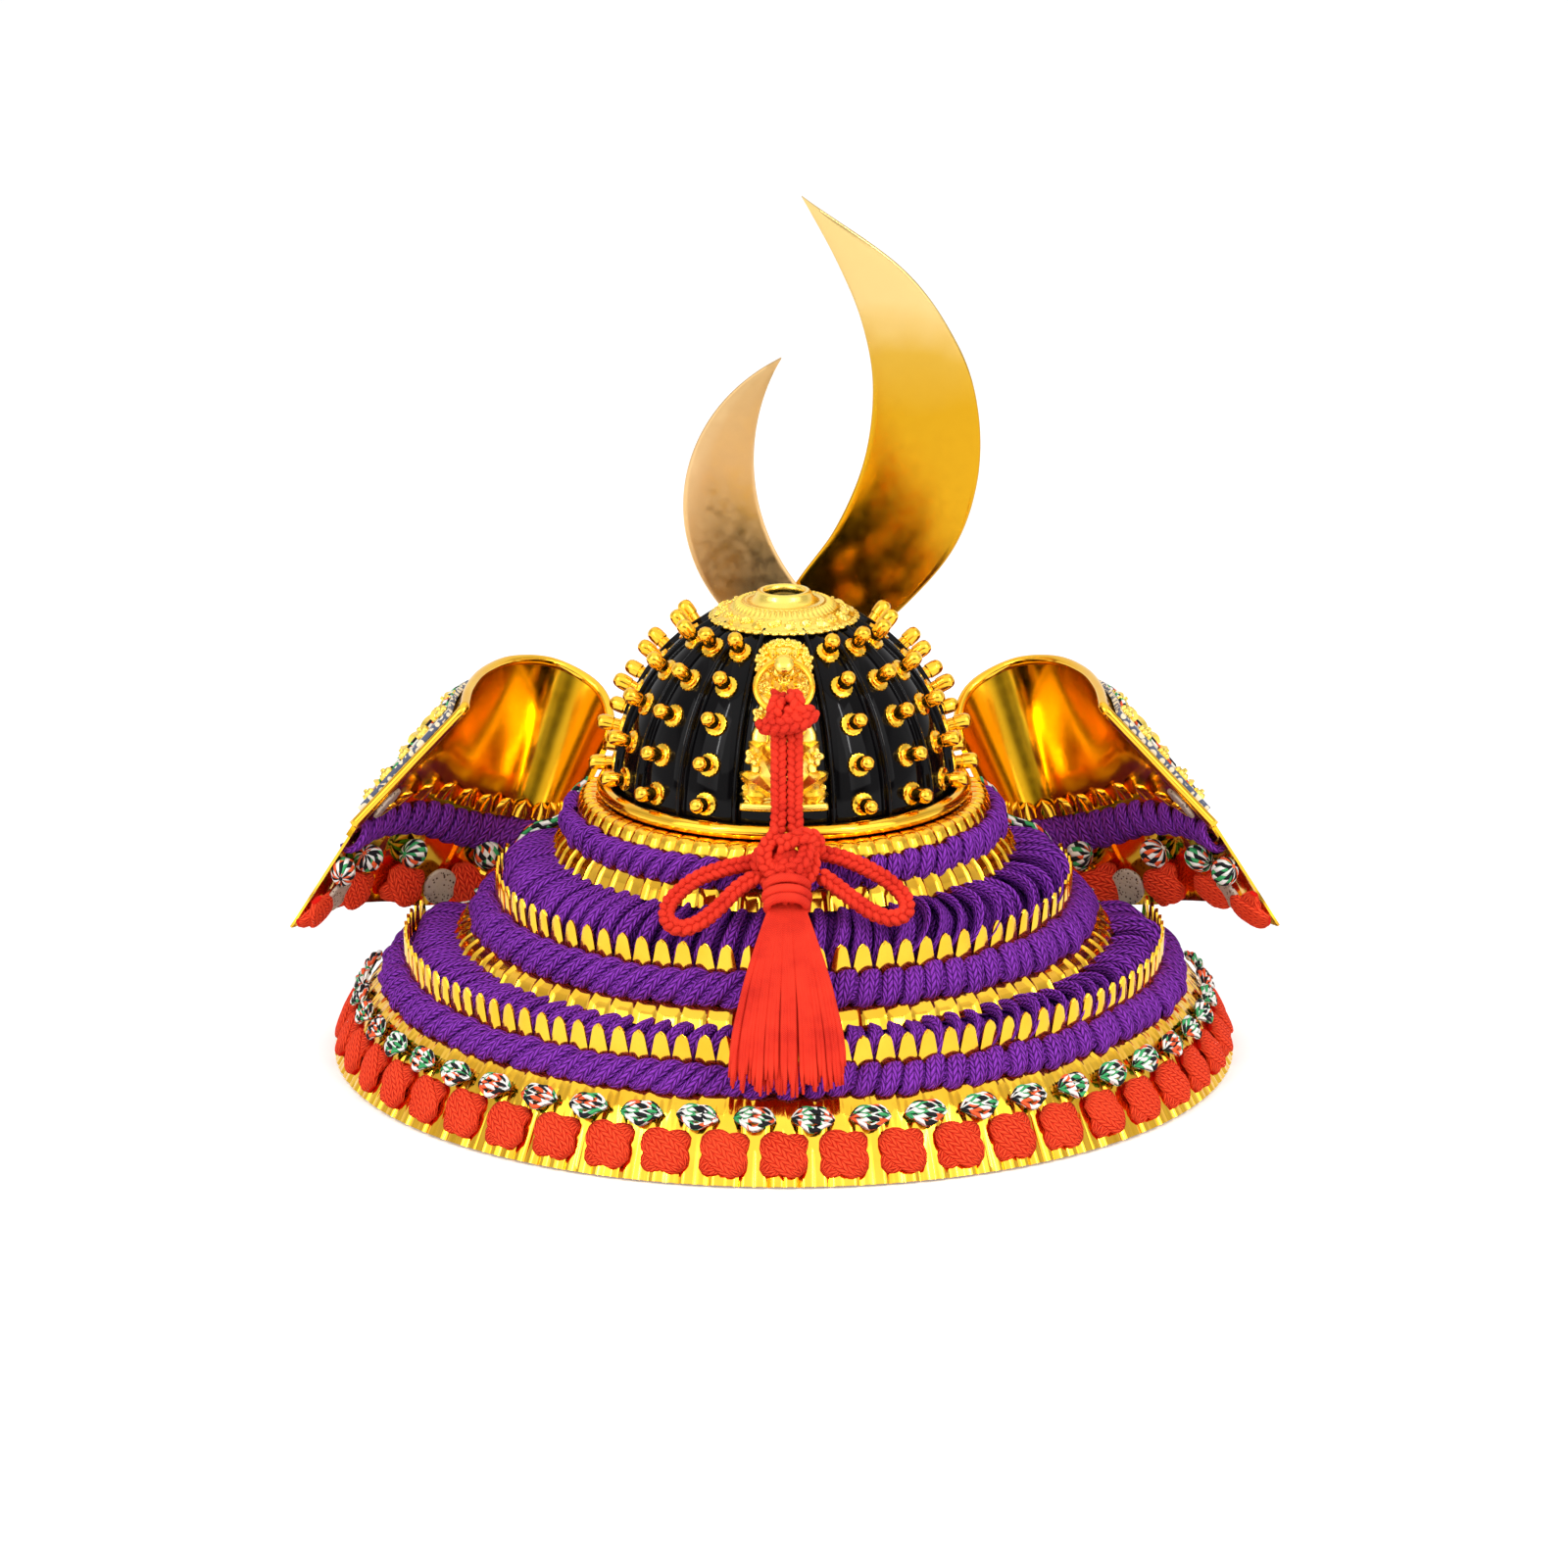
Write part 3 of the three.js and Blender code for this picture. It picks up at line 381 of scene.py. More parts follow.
@dataclass(frozen=True)
class SpeckledStud(Finish):
    """Grey-brown stud face with dark pits."""

    def look(self, bench: Bench) -> dict[str, object]:
        """Pits with soft edges over a cloudy ground."""
        edge = bench.cells(1250.0) + bench.noise(900.0) * 0.35
        return {
            "Base Color": bench.ramp(edge, [(0.42, (0.05, 0.025, 0.018)), (0.50, (0.46, 0.37, 0.29))]),
            "Roughness": 0.5,
            "Metallic": 0.25,
            "Normal": bench.bump(edge, 0.15),
        }


GILT = Gilt("bright_gilt", Slot.GILT)
CAST = Gilt("cast_gilt", Slot.GILT, colour=(1.0, 0.75, 0.16), shade=(0.98, 0.66, 0.10),
            roughness=0.26, wave=0.12, grain=0.1)
# long blade: painted reflection graded by height, deeper amber low down and paler near the tip
BLADE_GILT = GradedGilt("blade_gilt", Slot.GILT, roughness=0.2, wave=0.012)
# darker, more orange copy of the bright gilt: painted shade that tones down the reflections on the wing sheets
SHADED_WING_GILT = Gilt("shaded_wing_gilt", Slot.GILT, colour=(0.93, 0.51, 0.018), shade=(0.85, 0.43, 0.01),
                  roughness=0.16, wave=0.02)
# short blade: paler at its foot and darker towards its tip, painted light over the dark bowl that it mirrors low down
BLADE_SATIN = GradedGilt(
    "satin_gilt", Slot.SATIN, roughness=0.42, wave=0.01, grain=0.05,
    tints=((0.0, (0.90, 0.60, 0.27)), (0.25, (0.76, 0.50, 0.24)), (0.5, (0.63, 0.41, 0.18))),
)
LACQUER = Lacquer("gloss_black", Slot.LACQUER)
# the knit finishes' dark colours are painted shade in the stitch gaps, mixed with random tone
PURPLE = Knit("purple_knit", Slot.PURPLE)
RED_KNIT = Knit("red_knit", Slot.RED, light=(1.0, 0.075, 0.025), dark=(0.58, 0.008, 0.004),
                column=2.2, stitch=1.5, relief=0.55)
MIXED = MixedBraid("four_yarn_braid", Slot.MIXED)
RED_YARN = Yarn("red_yarn", Slot.RED)
LEATHER = PrintedLeather("motif_hide", Slot.LEATHER)
STUD = SpeckledStud("speckled_stud", Slot.STUD)


# ---------- mesh making ----------
def turned(degrees: object, radius: object, height: object) -> Points:
    """Points at angles from the back, distances from the axis and heights."""
    angle = np.radians(degrees)
    return np.stack(np.broadcast_arrays(radius * np.sin(angle), -radius * np.cos(angle), height), axis=-1)


def unit(vectors: Points) -> Points:
    """The same directions with length 1."""
    return vectors / np.maximum(np.linalg.norm(vectors, axis=-1, keepdims=True), 1e-9)


def reach_of(line: Points) -> Points:
    """Length along a line up to each of its points."""
    return np.concatenate([[0.0], np.cumsum(np.linalg.norm(np.diff(line, axis=0), axis=1))])


def resampled(line: Points, count: int) -> Points:
    """A line's points spread evenly along it.

    Args:
        line: the points of the line.
        count: how many to return.

    Returns:
        That many points.
    """
    reach = reach_of(line)
    at = np.linspace(0.0, reach[-1], count)
    return np.stack([np.interp(at, reach, line[:, k]) for k in range(line.shape[1])], axis=-1)


def catmull(points: Sequence[Sequence[float]], at: Points, power: float = 0.25) -> Points:
    """Smooth curve through points, by shares of its spans.

    Args:
        points: the points that it passes.
        at: shares from 0 to 1.
        power: 0.25 for a centripetal curve, 0 for an even one.

    Returns:
        A point for each share.
    """
    given = np.array(points, float)
    full = np.vstack([2 * given[0] - given[1], given, 2 * given[-1] - given[-2]])
    place = np.clip(np.asarray(at, float), 0, 1) * (len(given) - 1)
    span = np.minimum(place.astype(int), len(given) - 2)
    share = (place - span)[..., None]
    p0, p1, p2, p3 = (full[span + k] for k in range(4))
    d0, d1, d2 = (
        np.maximum(np.sum((b - a) ** 2, axis=-1, keepdims=True) ** power, 1e-4)
        for a, b in ((p0, p1), (p1, p2), (p2, p3))
    )
    leave = ((p1 - p0) / d0 - (p2 - p0) / (d0 + d1) + (p2 - p1) / d1) * d1
    arrive = ((p2 - p1) / d1 - (p3 - p1) / (d1 + d2) + (p3 - p2) / d2) * d1
    cubic = 2 * p1 - 2 * p2 + leave + arrive
    square = -3 * p1 + 3 * p2 - 2 * leave - arrive
    return p1 + share * (leave + share * (square + share * cubic))


def full_turn(count: int) -> Points:
    """Angles once round, in radians."""
    return np.linspace(0, math.tau, count, endpoint=False)


def ellipse(sides: int, squareness: float = 2.0) -> Points:
    """Outline of a unit section, from an ellipse (2) towards a rounded box (4 and more)."""
    turn = (np.arange(sides) + 0.5) * math.tau / sides
    cos, sin = np.cos(turn), np.sin(turn)
    power = 2.0 / squareness
    return np.stack([np.sign(cos) * np.abs(cos) ** power, np.sign(sin) * np.abs(sin) ** power], axis=-1)


def in_frame(points: Points) -> Points:
    """Metres in the frame, from millimetres off the bowl's axis."""
    return (points + np.array(AXIS) / MM) * MM


def ring_in(turn: Points, along: Points, up: Points) -> Points:
    """Unit circle in a plane, at turns in radians."""
    return np.outer(np.cos(turn), along) + np.outer(np.sin(turn), up)


def linked(name: str, data: bpy.types.ID) -> bpy.types.Object:
    """New object in the scene that shows the data."""
    made = bpy.data.objects.new(name, data)
    bpy.context.scene.collection.objects.link(made)
    return made


def turn_outwards(data: bpy.types.Mesh) -> None:
    """Turns a closed mesh's faces outwards."""
    work = bmesh.new()
    work.from_mesh(data)
    bmesh.ops.recalc_face_normals(work, faces=work.faces[:])
    work.to_mesh(data)
    work.free()


@dataclass
class Body:
    """A mesh in the making, in millimetres from the bowl's axis."""

    points: list[Points] = field(default_factory=list)
    faces: list[list[int]] = field(default_factory=list)
    lay: list[Points] = field(default_factory=list)
    count: int = 0

    def grid(self, rows: Points, along: Points | None = None, across: Points | None = None,
             loop_rows: bool = False, loop_columns: bool = False) -> int:
        """Adds a sheet of quads.

        Args:
            rows: points by row and column.
            along: the map's first value at each row, and one more where rows close on themselves.
            across: the map's second value at each column, likewise.
            loop_rows: whether the last row meets the first.
            loop_columns: whether the last column meets the first.

        Returns:
            The number of the first point.
        """
        height, width = rows.shape[:2]
        first = self.count
        self.points.append(rows.reshape(-1, 3))
        self.count += height * width
        i, j = np.meshgrid(np.arange(height - (not loop_rows)), np.arange(width - (not loop_columns)), indexing="ij")
        i, j = i.ravel(), j.ravel()
        i1, j1 = (i + 1) % height, (j + 1) % width
        quads = np.stack([i * width + j, i1 * width + j, i1 * width + j1, i * width + j1], axis=1) + first
        self.faces.extend(quads.tolist())
        along = np.arange(height + 1.0) if along is None else np.asarray(along, float)
        across = np.arange(width + 1.0) if across is None else np.asarray(across, float)
        corners = [(i, j), (i + 1, j), (i + 1, j + 1), (i, j + 1)]
        lay = np.stack([np.stack([along[a], across[b]], axis=1) for a, b in corners], axis=1)
        self.lay.append(lay.reshape(-1, 2))
        return first

    def cap(self, ring: Sequence[int]) -> None:
        """Closes a ring of points with one face."""
        self.faces.append(list(ring))
        self.lay.append(np.zeros((len(ring), 2)))

    def sweep(self, path: Points, outs: Points, widths: object, heights: object, section: Points,
              twist: object = 0.0) -> "Body":
        """Adds a closed bar that follows a path.

        Args:
            path: the points of its middle line.
            outs: at each, the direction that its section's second axis points along.
            widths: half its width at each point.
            heights: half its height at each point.
            section: the unit outline.
            twist: turn of the section about the path at each point, in degrees.

        Returns:
            This body.
        """
        steps = len(path)
        ahead = unit(np.gradient(path, axis=0))
        outs = np.broadcast_to(outs, path.shape)
        across = unit(np.cross(ahead, outs))
        out = np.cross(across, ahead)
        turn = np.radians(np.broadcast_to(twist, steps))[:, None]
        across, out = across * np.cos(turn) + out * np.sin(turn), out * np.cos(turn) - across * np.sin(turn)
        widths = np.broadcast_to(widths, steps)[:, None, None]
        heights = np.broadcast_to(heights, steps)[:, None, None]
        rings = (path[:, None] + across[:, None] * widths * section[None, :, :1]
                 + out[:, None] * heights * section[None, :, 1:])
        middle = rings[steps // 2]
        return self.tube(rings, reach_of(path), reach_of(np.vstack([middle, middle[:1]])))

    def tube(self, rings: Points, along: Points | None = None, around: Points | None = None) -> "Body":
        """Adds a body of rings, closed over the first and the last, with its map's values as in grid."""
        rings = np.asarray(rings)
        steps, sides = rings.shape[:2]
        first = self.grid(rings, along, around, loop_columns=True)
        self.cap([first + k for k in range(sides)])
        self.cap([first + (steps - 1) * sides + k for k in reversed(range(sides))])
        return self

    def slab(self, front: Points, back: Points) -> "Body":
        """Adds a closed sheet between two grids of the same size."""
        height, width = front.shape[:2]
        a, b = self.grid(front), self.grid(back[:, ::-1])
        rim = [(0, j) for j in range(width - 1)] + [(i, width - 1) for i in range(height - 1)]
        rim += [(height - 1, j) for j in range(width - 1, 0, -1)] + [(i, 0) for i in range(height - 1, 0, -1)]
        fronts = [a + i * width + j for i, j in rim]
        backs = [b + i * width + (width - 1 - j) for i, j in rim]
        for k in range(len(rim)):
            n = (k + 1) % len(rim)
            self.cap([fronts[k], fronts[n], backs[n], backs[k]])
        return self

    def mesh(self, name: str, finish: Finish, on_axis: bool = True) -> bpy.types.Object:
        """Makes the object, with its faces turned outwards.

        Args:
            name: the piece's name.
            finish: its finish.
            on_axis: whether it is moved to the bowl's axis in the frame.

        Returns:
            The new object.
        """
        data = bpy.data.meshes.new(name)
        shift = np.array(AXIS) / MM if on_axis else np.zeros(3)
        places = (np.vstack(self.points) + shift) * MM
        data.from_pydata(places.tolist(), [], self.faces)
        layer = data.uv_layers.new(name=LACE_UV)
        layer.data.foreach_set("uv", np.vstack(self.lay).astype(np.float32).ravel())
        turn_outwards(data)
        data.shade_smooth()
        data.materials.append(finish.material())
        return linked(name, data)

    def piece(self, name: str, finish: Finish, *nodes: str, sharp: float = 0.0) -> bpy.types.Object:
        """Makes the object and ties it to the frame.

        Args:
            name: the piece's name.
            finish: its finish.
            nodes: the frame's nodes that it stands for.
            sharp: edges sharper than this angle stay crisp; none do at 0.

        Returns:
            The piece.
        """
        made = self.mesh(name, finish)
        return finished(crisp(made, sharp) if sharp else made, finish, *nodes)


def joined(name: str, parts: Sequence[bpy.types.Object]) -> bpy.types.Object:
    """Joins objects into one piece with a name."""
    parts = list(parts)
    with bpy.context.temp_override(active_object=parts[0], selected_editable_objects=parts):
        bpy.ops.object.join()
    parts[0].name = name
    parts[0].data.name = name
    return parts[0]


def crisp(piece: bpy.types.Object, degrees: float = 35.0) -> bpy.types.Object:
    """Keeps edges sharper than an angle from shading smoothly."""
    piece.data.set_sharp_from_angle(angle=math.radians(degrees))
    return piece


def finished(piece: bpy.types.Object, finish: Finish, *nodes: str) -> bpy.types.Object:
    """Ties a piece to the frame.

    Args:
        piece: the piece, in place.
        finish: not used.
        nodes: the frame's nodes that it stands for.

    Returns:
        The piece.
    """
    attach(piece, "root")
    if nodes:
        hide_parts(*nodes)
    log.info("%s: %d faces, stands for %s", piece.name, len(piece.data.polygons), ", ".join(nodes) or "nothing")
    return piece


# ---------- geometry nodes ----------
class ShapeTree:
    """Node tree that turns a mesh into a piece."""

    def __init__(self, name: str, inputs: dict[str, str]) -> None:
        """Makes the tree with its inputs and output.

        Args:
            name: the tree's name.
            inputs: the kind of each input beside the mesh, by name.
        """
        self.tree = bpy.data.node_groups.new(name, "GeometryNodeTree")
        face = self.tree.interface
        for key, kind in ({"Geometry": "Geometry"} | inputs).items():
            face.new_socket(key, in_out="INPUT", socket_type="NodeSocket" + kind)
        face.new_socket("Geometry", in_out="OUTPUT", socket_type="NodeSocketGeometry")
        self.bench = Bench(self.tree)
        self.given = self.bench.add("NodeGroupInput").outputs

    def named(self, name: str, kind: str = "FLOAT_VECTOR") -> Value:
        """A named attribute of the mesh."""
        return self.bench.value("GeometryNodeInputNamedAttribute", {"Name": name}, "Attribute", data_type=kind)

    def close(self, shape: Value) -> None:
        """Ends the tree in Realize Instances and Set Material."""
        real = self.bench.value("GeometryNodeRealizeInstances", {0: shape})
        paint = {"Geometry": real, "Material": self.given["Finish"]}
        self.bench.add("NodeGroupOutput", {0: self.bench.value("GeometryNodeSetMaterial", paint)})

    def run(self, name: str, data: bpy.types.Mesh, values: dict[str, Points], given: dict[str, object],
            used_up: Sequence[bpy.types.Object] = ()) -> bpy.types.Object:
        """Runs the tree on a mesh and keeps the result as a plain mesh.

        Args:
            name: the new piece's name.
            data: the mesh that it starts from.
            values: named attributes to write at its points, one number each or three.
            given: values for the tree's named inputs.
            used_up: objects to remove afterwards.

        Returns:
            The new object, with no modifier.
        """
        for key, table in values.items():
            single = table.size == len(data.vertices)
            layer = data.attributes.new(key, "FLOAT" if single else "FLOAT_VECTOR", "POINT")
            layer.data.foreach_set("value" if single else "vector", np.ascontiguousarray(table, np.float32).ravel())
        holder = linked(name + "_plain", data)
        modifier = holder.modifiers.new("shape", "NODES")
        modifier.node_group = self.tree
        for item in self.tree.interface.items_tree:
            if item.item_type == "SOCKET" and item.in_out == "INPUT" and item.name in given:
                modifier[item.identifier] = given[item.name]
        graph = bpy.context.evaluated_depsgraph_get()
        result = bpy.data.meshes.new_from_object(holder.evaluated_get(graph))
        result.name = name
        holder.modifiers.remove(modifier)
        for old in (holder, *used_up):
            bpy.data.objects.remove(old)
        return linked(name, result)


class Copies(ShapeTree):
    """Sets copies of a piece on points, each with its own turn and size."""

    def __init__(self) -> None:
        """Builds the tree."""
        super().__init__("copies_on_points", {"Piece": "Object", "Finish": "Material", "Turn Wobble": "Float",
                                              "Size Wobble": "Float", "Seed": "Int"})
        bench, given = self.bench, self.given
        turn, nudge = (bench.value("FunctionNodeEulerToRotation", {0: angles})
                       for angles in (self.named("pose"), self._spread("Turn Wobble", 0.0)))
        size = self.named("size")
        grown = {0: self._spread("Size Wobble", 7.0), 1: size, 2: size}
        self.close(bench.value("GeometryNodeInstanceOnPoints", {
            "Points": given["Geometry"],
            "Instance": bench.value("GeometryNodeObjectInfo", {"Object": given["Piece"]}, "Geometry"),
            "Rotation": bench.value("FunctionNodeRotateRotation", {0: turn, 1: nudge}, rotation_space="LOCAL"),
            "Scale": bench.value("ShaderNodeVectorMath", grown, operation="MULTIPLY_ADD"),
        }))

    def _spread(self, reach: str, salt: float) -> Value:
        """A random vector within plus or minus one of the inputs on each axis."""
        given = {"Min": (-1.0,) * 3, "Max": (1.0,) * 3, "Seed": self.bench.math("ADD", self.given["Seed"], salt)}
        chance = self.bench.value("FunctionNodeRandomValue", given, data_type="FLOAT_VECTOR")
        return self.bench.value("ShaderNodeVectorMath", {0: chance, "Scale": self.given[reach]}, operation="SCALE")

    def place(self, name: str, piece: bpy.types.Object, finish: Finish, places: Points, poses: Points,
              sizes: object = 1.0, turn_wobble: float = 0.0, size_wobble: float = 0.0,
              seed: int = 1) -> bpy.types.Object:
        """Sets the copies and makes them one plain mesh.

        Args:
            name: the new piece's name.
            piece: what is copied, built round the origin; it is used up.
            finish: the finish of the copies.
            places: their points, in metres in the frame.
            poses: their turns, as XYZ angles in radians.
            sizes: their scales, one number, one each or three each.
            turn_wobble: how far each is turned at random, in radians.
            size_wobble: how far each one's size varies, as a share.
            seed: seed of both.

        Returns:
            The new object.
        """
        data = bpy.data.meshes.new(name)
        data.from_pydata(np.asarray(places).tolist(), [], [])
        count = len(places)
        sizes = np.asarray(sizes, float)
        sizes = sizes[:, None] if sizes.shape == (count,) else sizes
        values = {"pose": np.broadcast_to(poses, (count, 3)), "size": np.broadcast_to(sizes, (count, 3))}
        given = {"Piece": piece, "Finish": finish.material(), "Turn Wobble": turn_wobble,
                 "Size Wobble": size_wobble, "Seed": seed}
        return self.run(name, data, values, given, [piece])


def round_axis(count: int) -> tuple[Points, Points]:
    """Places, all on the bowl's axis, and turns for copies set evenly along a hoop."""
    half = LAME_END / count
    poses = np.zeros((count, 3))
    poses[:, 2] = np.radians(np.linspace(-LAME_END + half, LAME_END - half, count))
    return np.tile(np.array(AXIS), (count, 1)), poses


def pose_of(right: Points, up: Points, out: Points) -> Points:
    """Turns that take x, y and z to three directions.

    Args:
        right: where each x goes.
        up: where each y goes.
        out: where each z goes.

    Returns:
        XYZ angles in radians.
    """
    return np.array([Matrix((r, u, o)).transposed().to_euler() for r, u, o in zip(right, up, out)])


class FluteTree(ShapeTree):
    """Folds flutes and creases into a plain strip and gives it its thickness."""

    def __init__(self) -> None:
        """Builds the tree."""
        super().__init__("fluted_sheet", {"Pitch": "Float", "Flutes to a Pitch": "Float", "Crease Width": "Float",
                                          "Thickness": "Float", "Finish": "Material"})
        bench, given = self.bench, self.given
        turn, flute, crease = (self.named(name, "FLOAT") for name in ("turn", "flute", "crease"))
        place = turn / given["Pitch"]
        off = abs(place.to("FRACT") - 0.5)
        ripple = abs((place * given["Flutes to a Pitch"]).to("FRACT") - 0.5)
        arch = (ripple * math.pi).to("COSINE") ** 0.6
        near = bench.math("SUBTRACT", 1.0, bench.math("SUBTRACT", 0.5, off) / given["Crease Width"])
        lift = arch * flute + near.to("SMOOTH_MAX", 0.0, 0.15) * crease
        push = bench.value("ShaderNodeVectorMath", {0: self.named("out"), "Scale": lift}, operation="SCALE")
        moved = bench.value("GeometryNodeSetPosition", {"Geometry": given["Geometry"], "Offset": push})
        depth = bench.math("MULTIPLY", given["Thickness"], -1.0)
        wall = bench.value("GeometryNodeExtrudeMesh", {"Mesh": moved, "Individual": False, "Offset Scale": depth},
                           "Mesh", mode="FACES")
        both = bench.add("GeometryNodeJoinGeometry", {0: wall})
        bench.feed(both.inputs[0], moved)
        self.close(bench.value("GeometryNodeMergeByDistance", {"Geometry": both.outputs[0], "Distance": 1e-6}))

    def fold(self, name: str, rows: Points, turn: Points, out: Points, flute: Points, crease: Points,
             pitch: float, crease_width: float, thickness: float, flutes: int = 1) -> bpy.types.Object:
        """Makes one fluted sheet of bright gilt.

        Args:
            name: the piece's name.
            rows: its plain strip, by row and column, in millimetres from the axis.
            turn: each column's place in degrees or millimetres.
            out: the outward direction at each point.
            flute: depth of the flutes at each row.
            crease: height of the creases at each row.
            pitch: of flutes and creases, in the units of turn.
            crease_width: half a crease's width as a share of the pitch.
            thickness: of the sheet.
            flutes: how many flutes there are to a pitch.

        Returns:
            The new object.
        """
        strip = Body()
        strip.grid(rows)
        data = bpy.data.meshes.new(name)
        data.from_pydata(in_frame(np.vstack(strip.points)).tolist(), [], strip.faces)
        across = rows.shape[:2]
        values = {"turn": np.broadcast_to(turn, across), "flute": np.broadcast_to(flute[:, None] * MM, across),
                  "crease": np.broadcast_to(crease[:, None] * MM, across), "out": out}
        given = {"Pitch": pitch, "Flutes to a Pitch": float(flutes), "Crease Width": crease_width,
                 "Thickness": thickness * MM, "Finish": GILT.material()}
        made = self.run(name, data, values, given)
        turn_outwards(made.data)
        made.data.shade_smooth()
        return crisp(made, 40.0)


COPIES = Copies()
FLUTES = FluteTree()


# ---------- braided cord ----------
@dataclass
class BraidedCord:
    """Round plaited cord: a core under plump stitches that meet in chevrons."""

    diameter: float = 3.5
    columns: int = 4
    stitch: float = 1.66
    lean: float = 36.0

    def stitch_body(self) -> bpy.types.Object:
        """One stitch: a plump bead along x."""
        body = Body()
        path = np.zeros((9, 3))
        share = np.linspace(-1, 1, 9)
        path[:, 0] = share * self.diameter * 0.37
        path[:, 2] = -0.45 * share**2
        swell = np.sqrt(np.maximum(1 - np.abs(share) ** 2.6, 0.03))
        body.sweep(path, UP, swell * 0.80, swell * 0.80, ellipse(10))
        return body.mesh("stitch", RED_YARN, on_axis=False)

    def make(self, name: str, route: Points, outs: Points, finish: Finish) -> bpy.types.Object:
        """Makes the cord along a route.

        Args:
            name: the piece's name.
            route: the points of its middle line, in millimetres from the axis.
            outs: a direction away from the helmet at each point.
            finish: the yarn's finish.

        Returns:
            The new object.
        """
        length = float(np.linalg.norm(np.diff(route, axis=0), axis=1).sum())
        rows = max(int(round(length / self.stitch)), 3)
        fine = resampled(np.hstack([route, np.broadcast_to(outs, route.shape)]), rows * 2 + 1)
        line, outward = fine[:, :3], unit(fine[:, 3:])
        ahead = unit(np.gradient(line, axis=0))
        across = unit(np.cross(ahead, outward))
        out = np.cross(across, ahead)
        radius = self.diameter / 2
        core = Body()
        core.sweep(line, outward, radius * 0.66, radius * 0.66, ellipse(12))
        places, rights, ups, normals = [], [], [], []
        for column in range(self.columns):
            turn = math.tau * (column + 0.5) / self.columns
            side = 1 if column % 2 == 0 else -1
            for row in range(column % 2, 2 * rows + 1, 2):
                normal = across[row] * math.cos(turn) + out[row] * math.sin(turn)
                sideways = np.cross(normal, ahead[row])
                lean = math.radians(self.lean) * side
                right = ahead[row] * math.cos(lean) + sideways * math.sin(lean)
                places.append(line[row] + normal * radius * 0.7)
                rights.append(right)
                ups.append(np.cross(normal, right))
                normals.append(normal)
        where = in_frame(np.array(places))
        poses = pose_of(np.array(rights), np.array(ups), np.array(normals))
        stitches = COPIES.place(name + "_stitches", self.stitch_body(), finish, where, poses,
                                size_wobble=0.06, turn_wobble=0.05, seed=11)
        return joined(name, [core.mesh(name + "_core", finish), stitches])


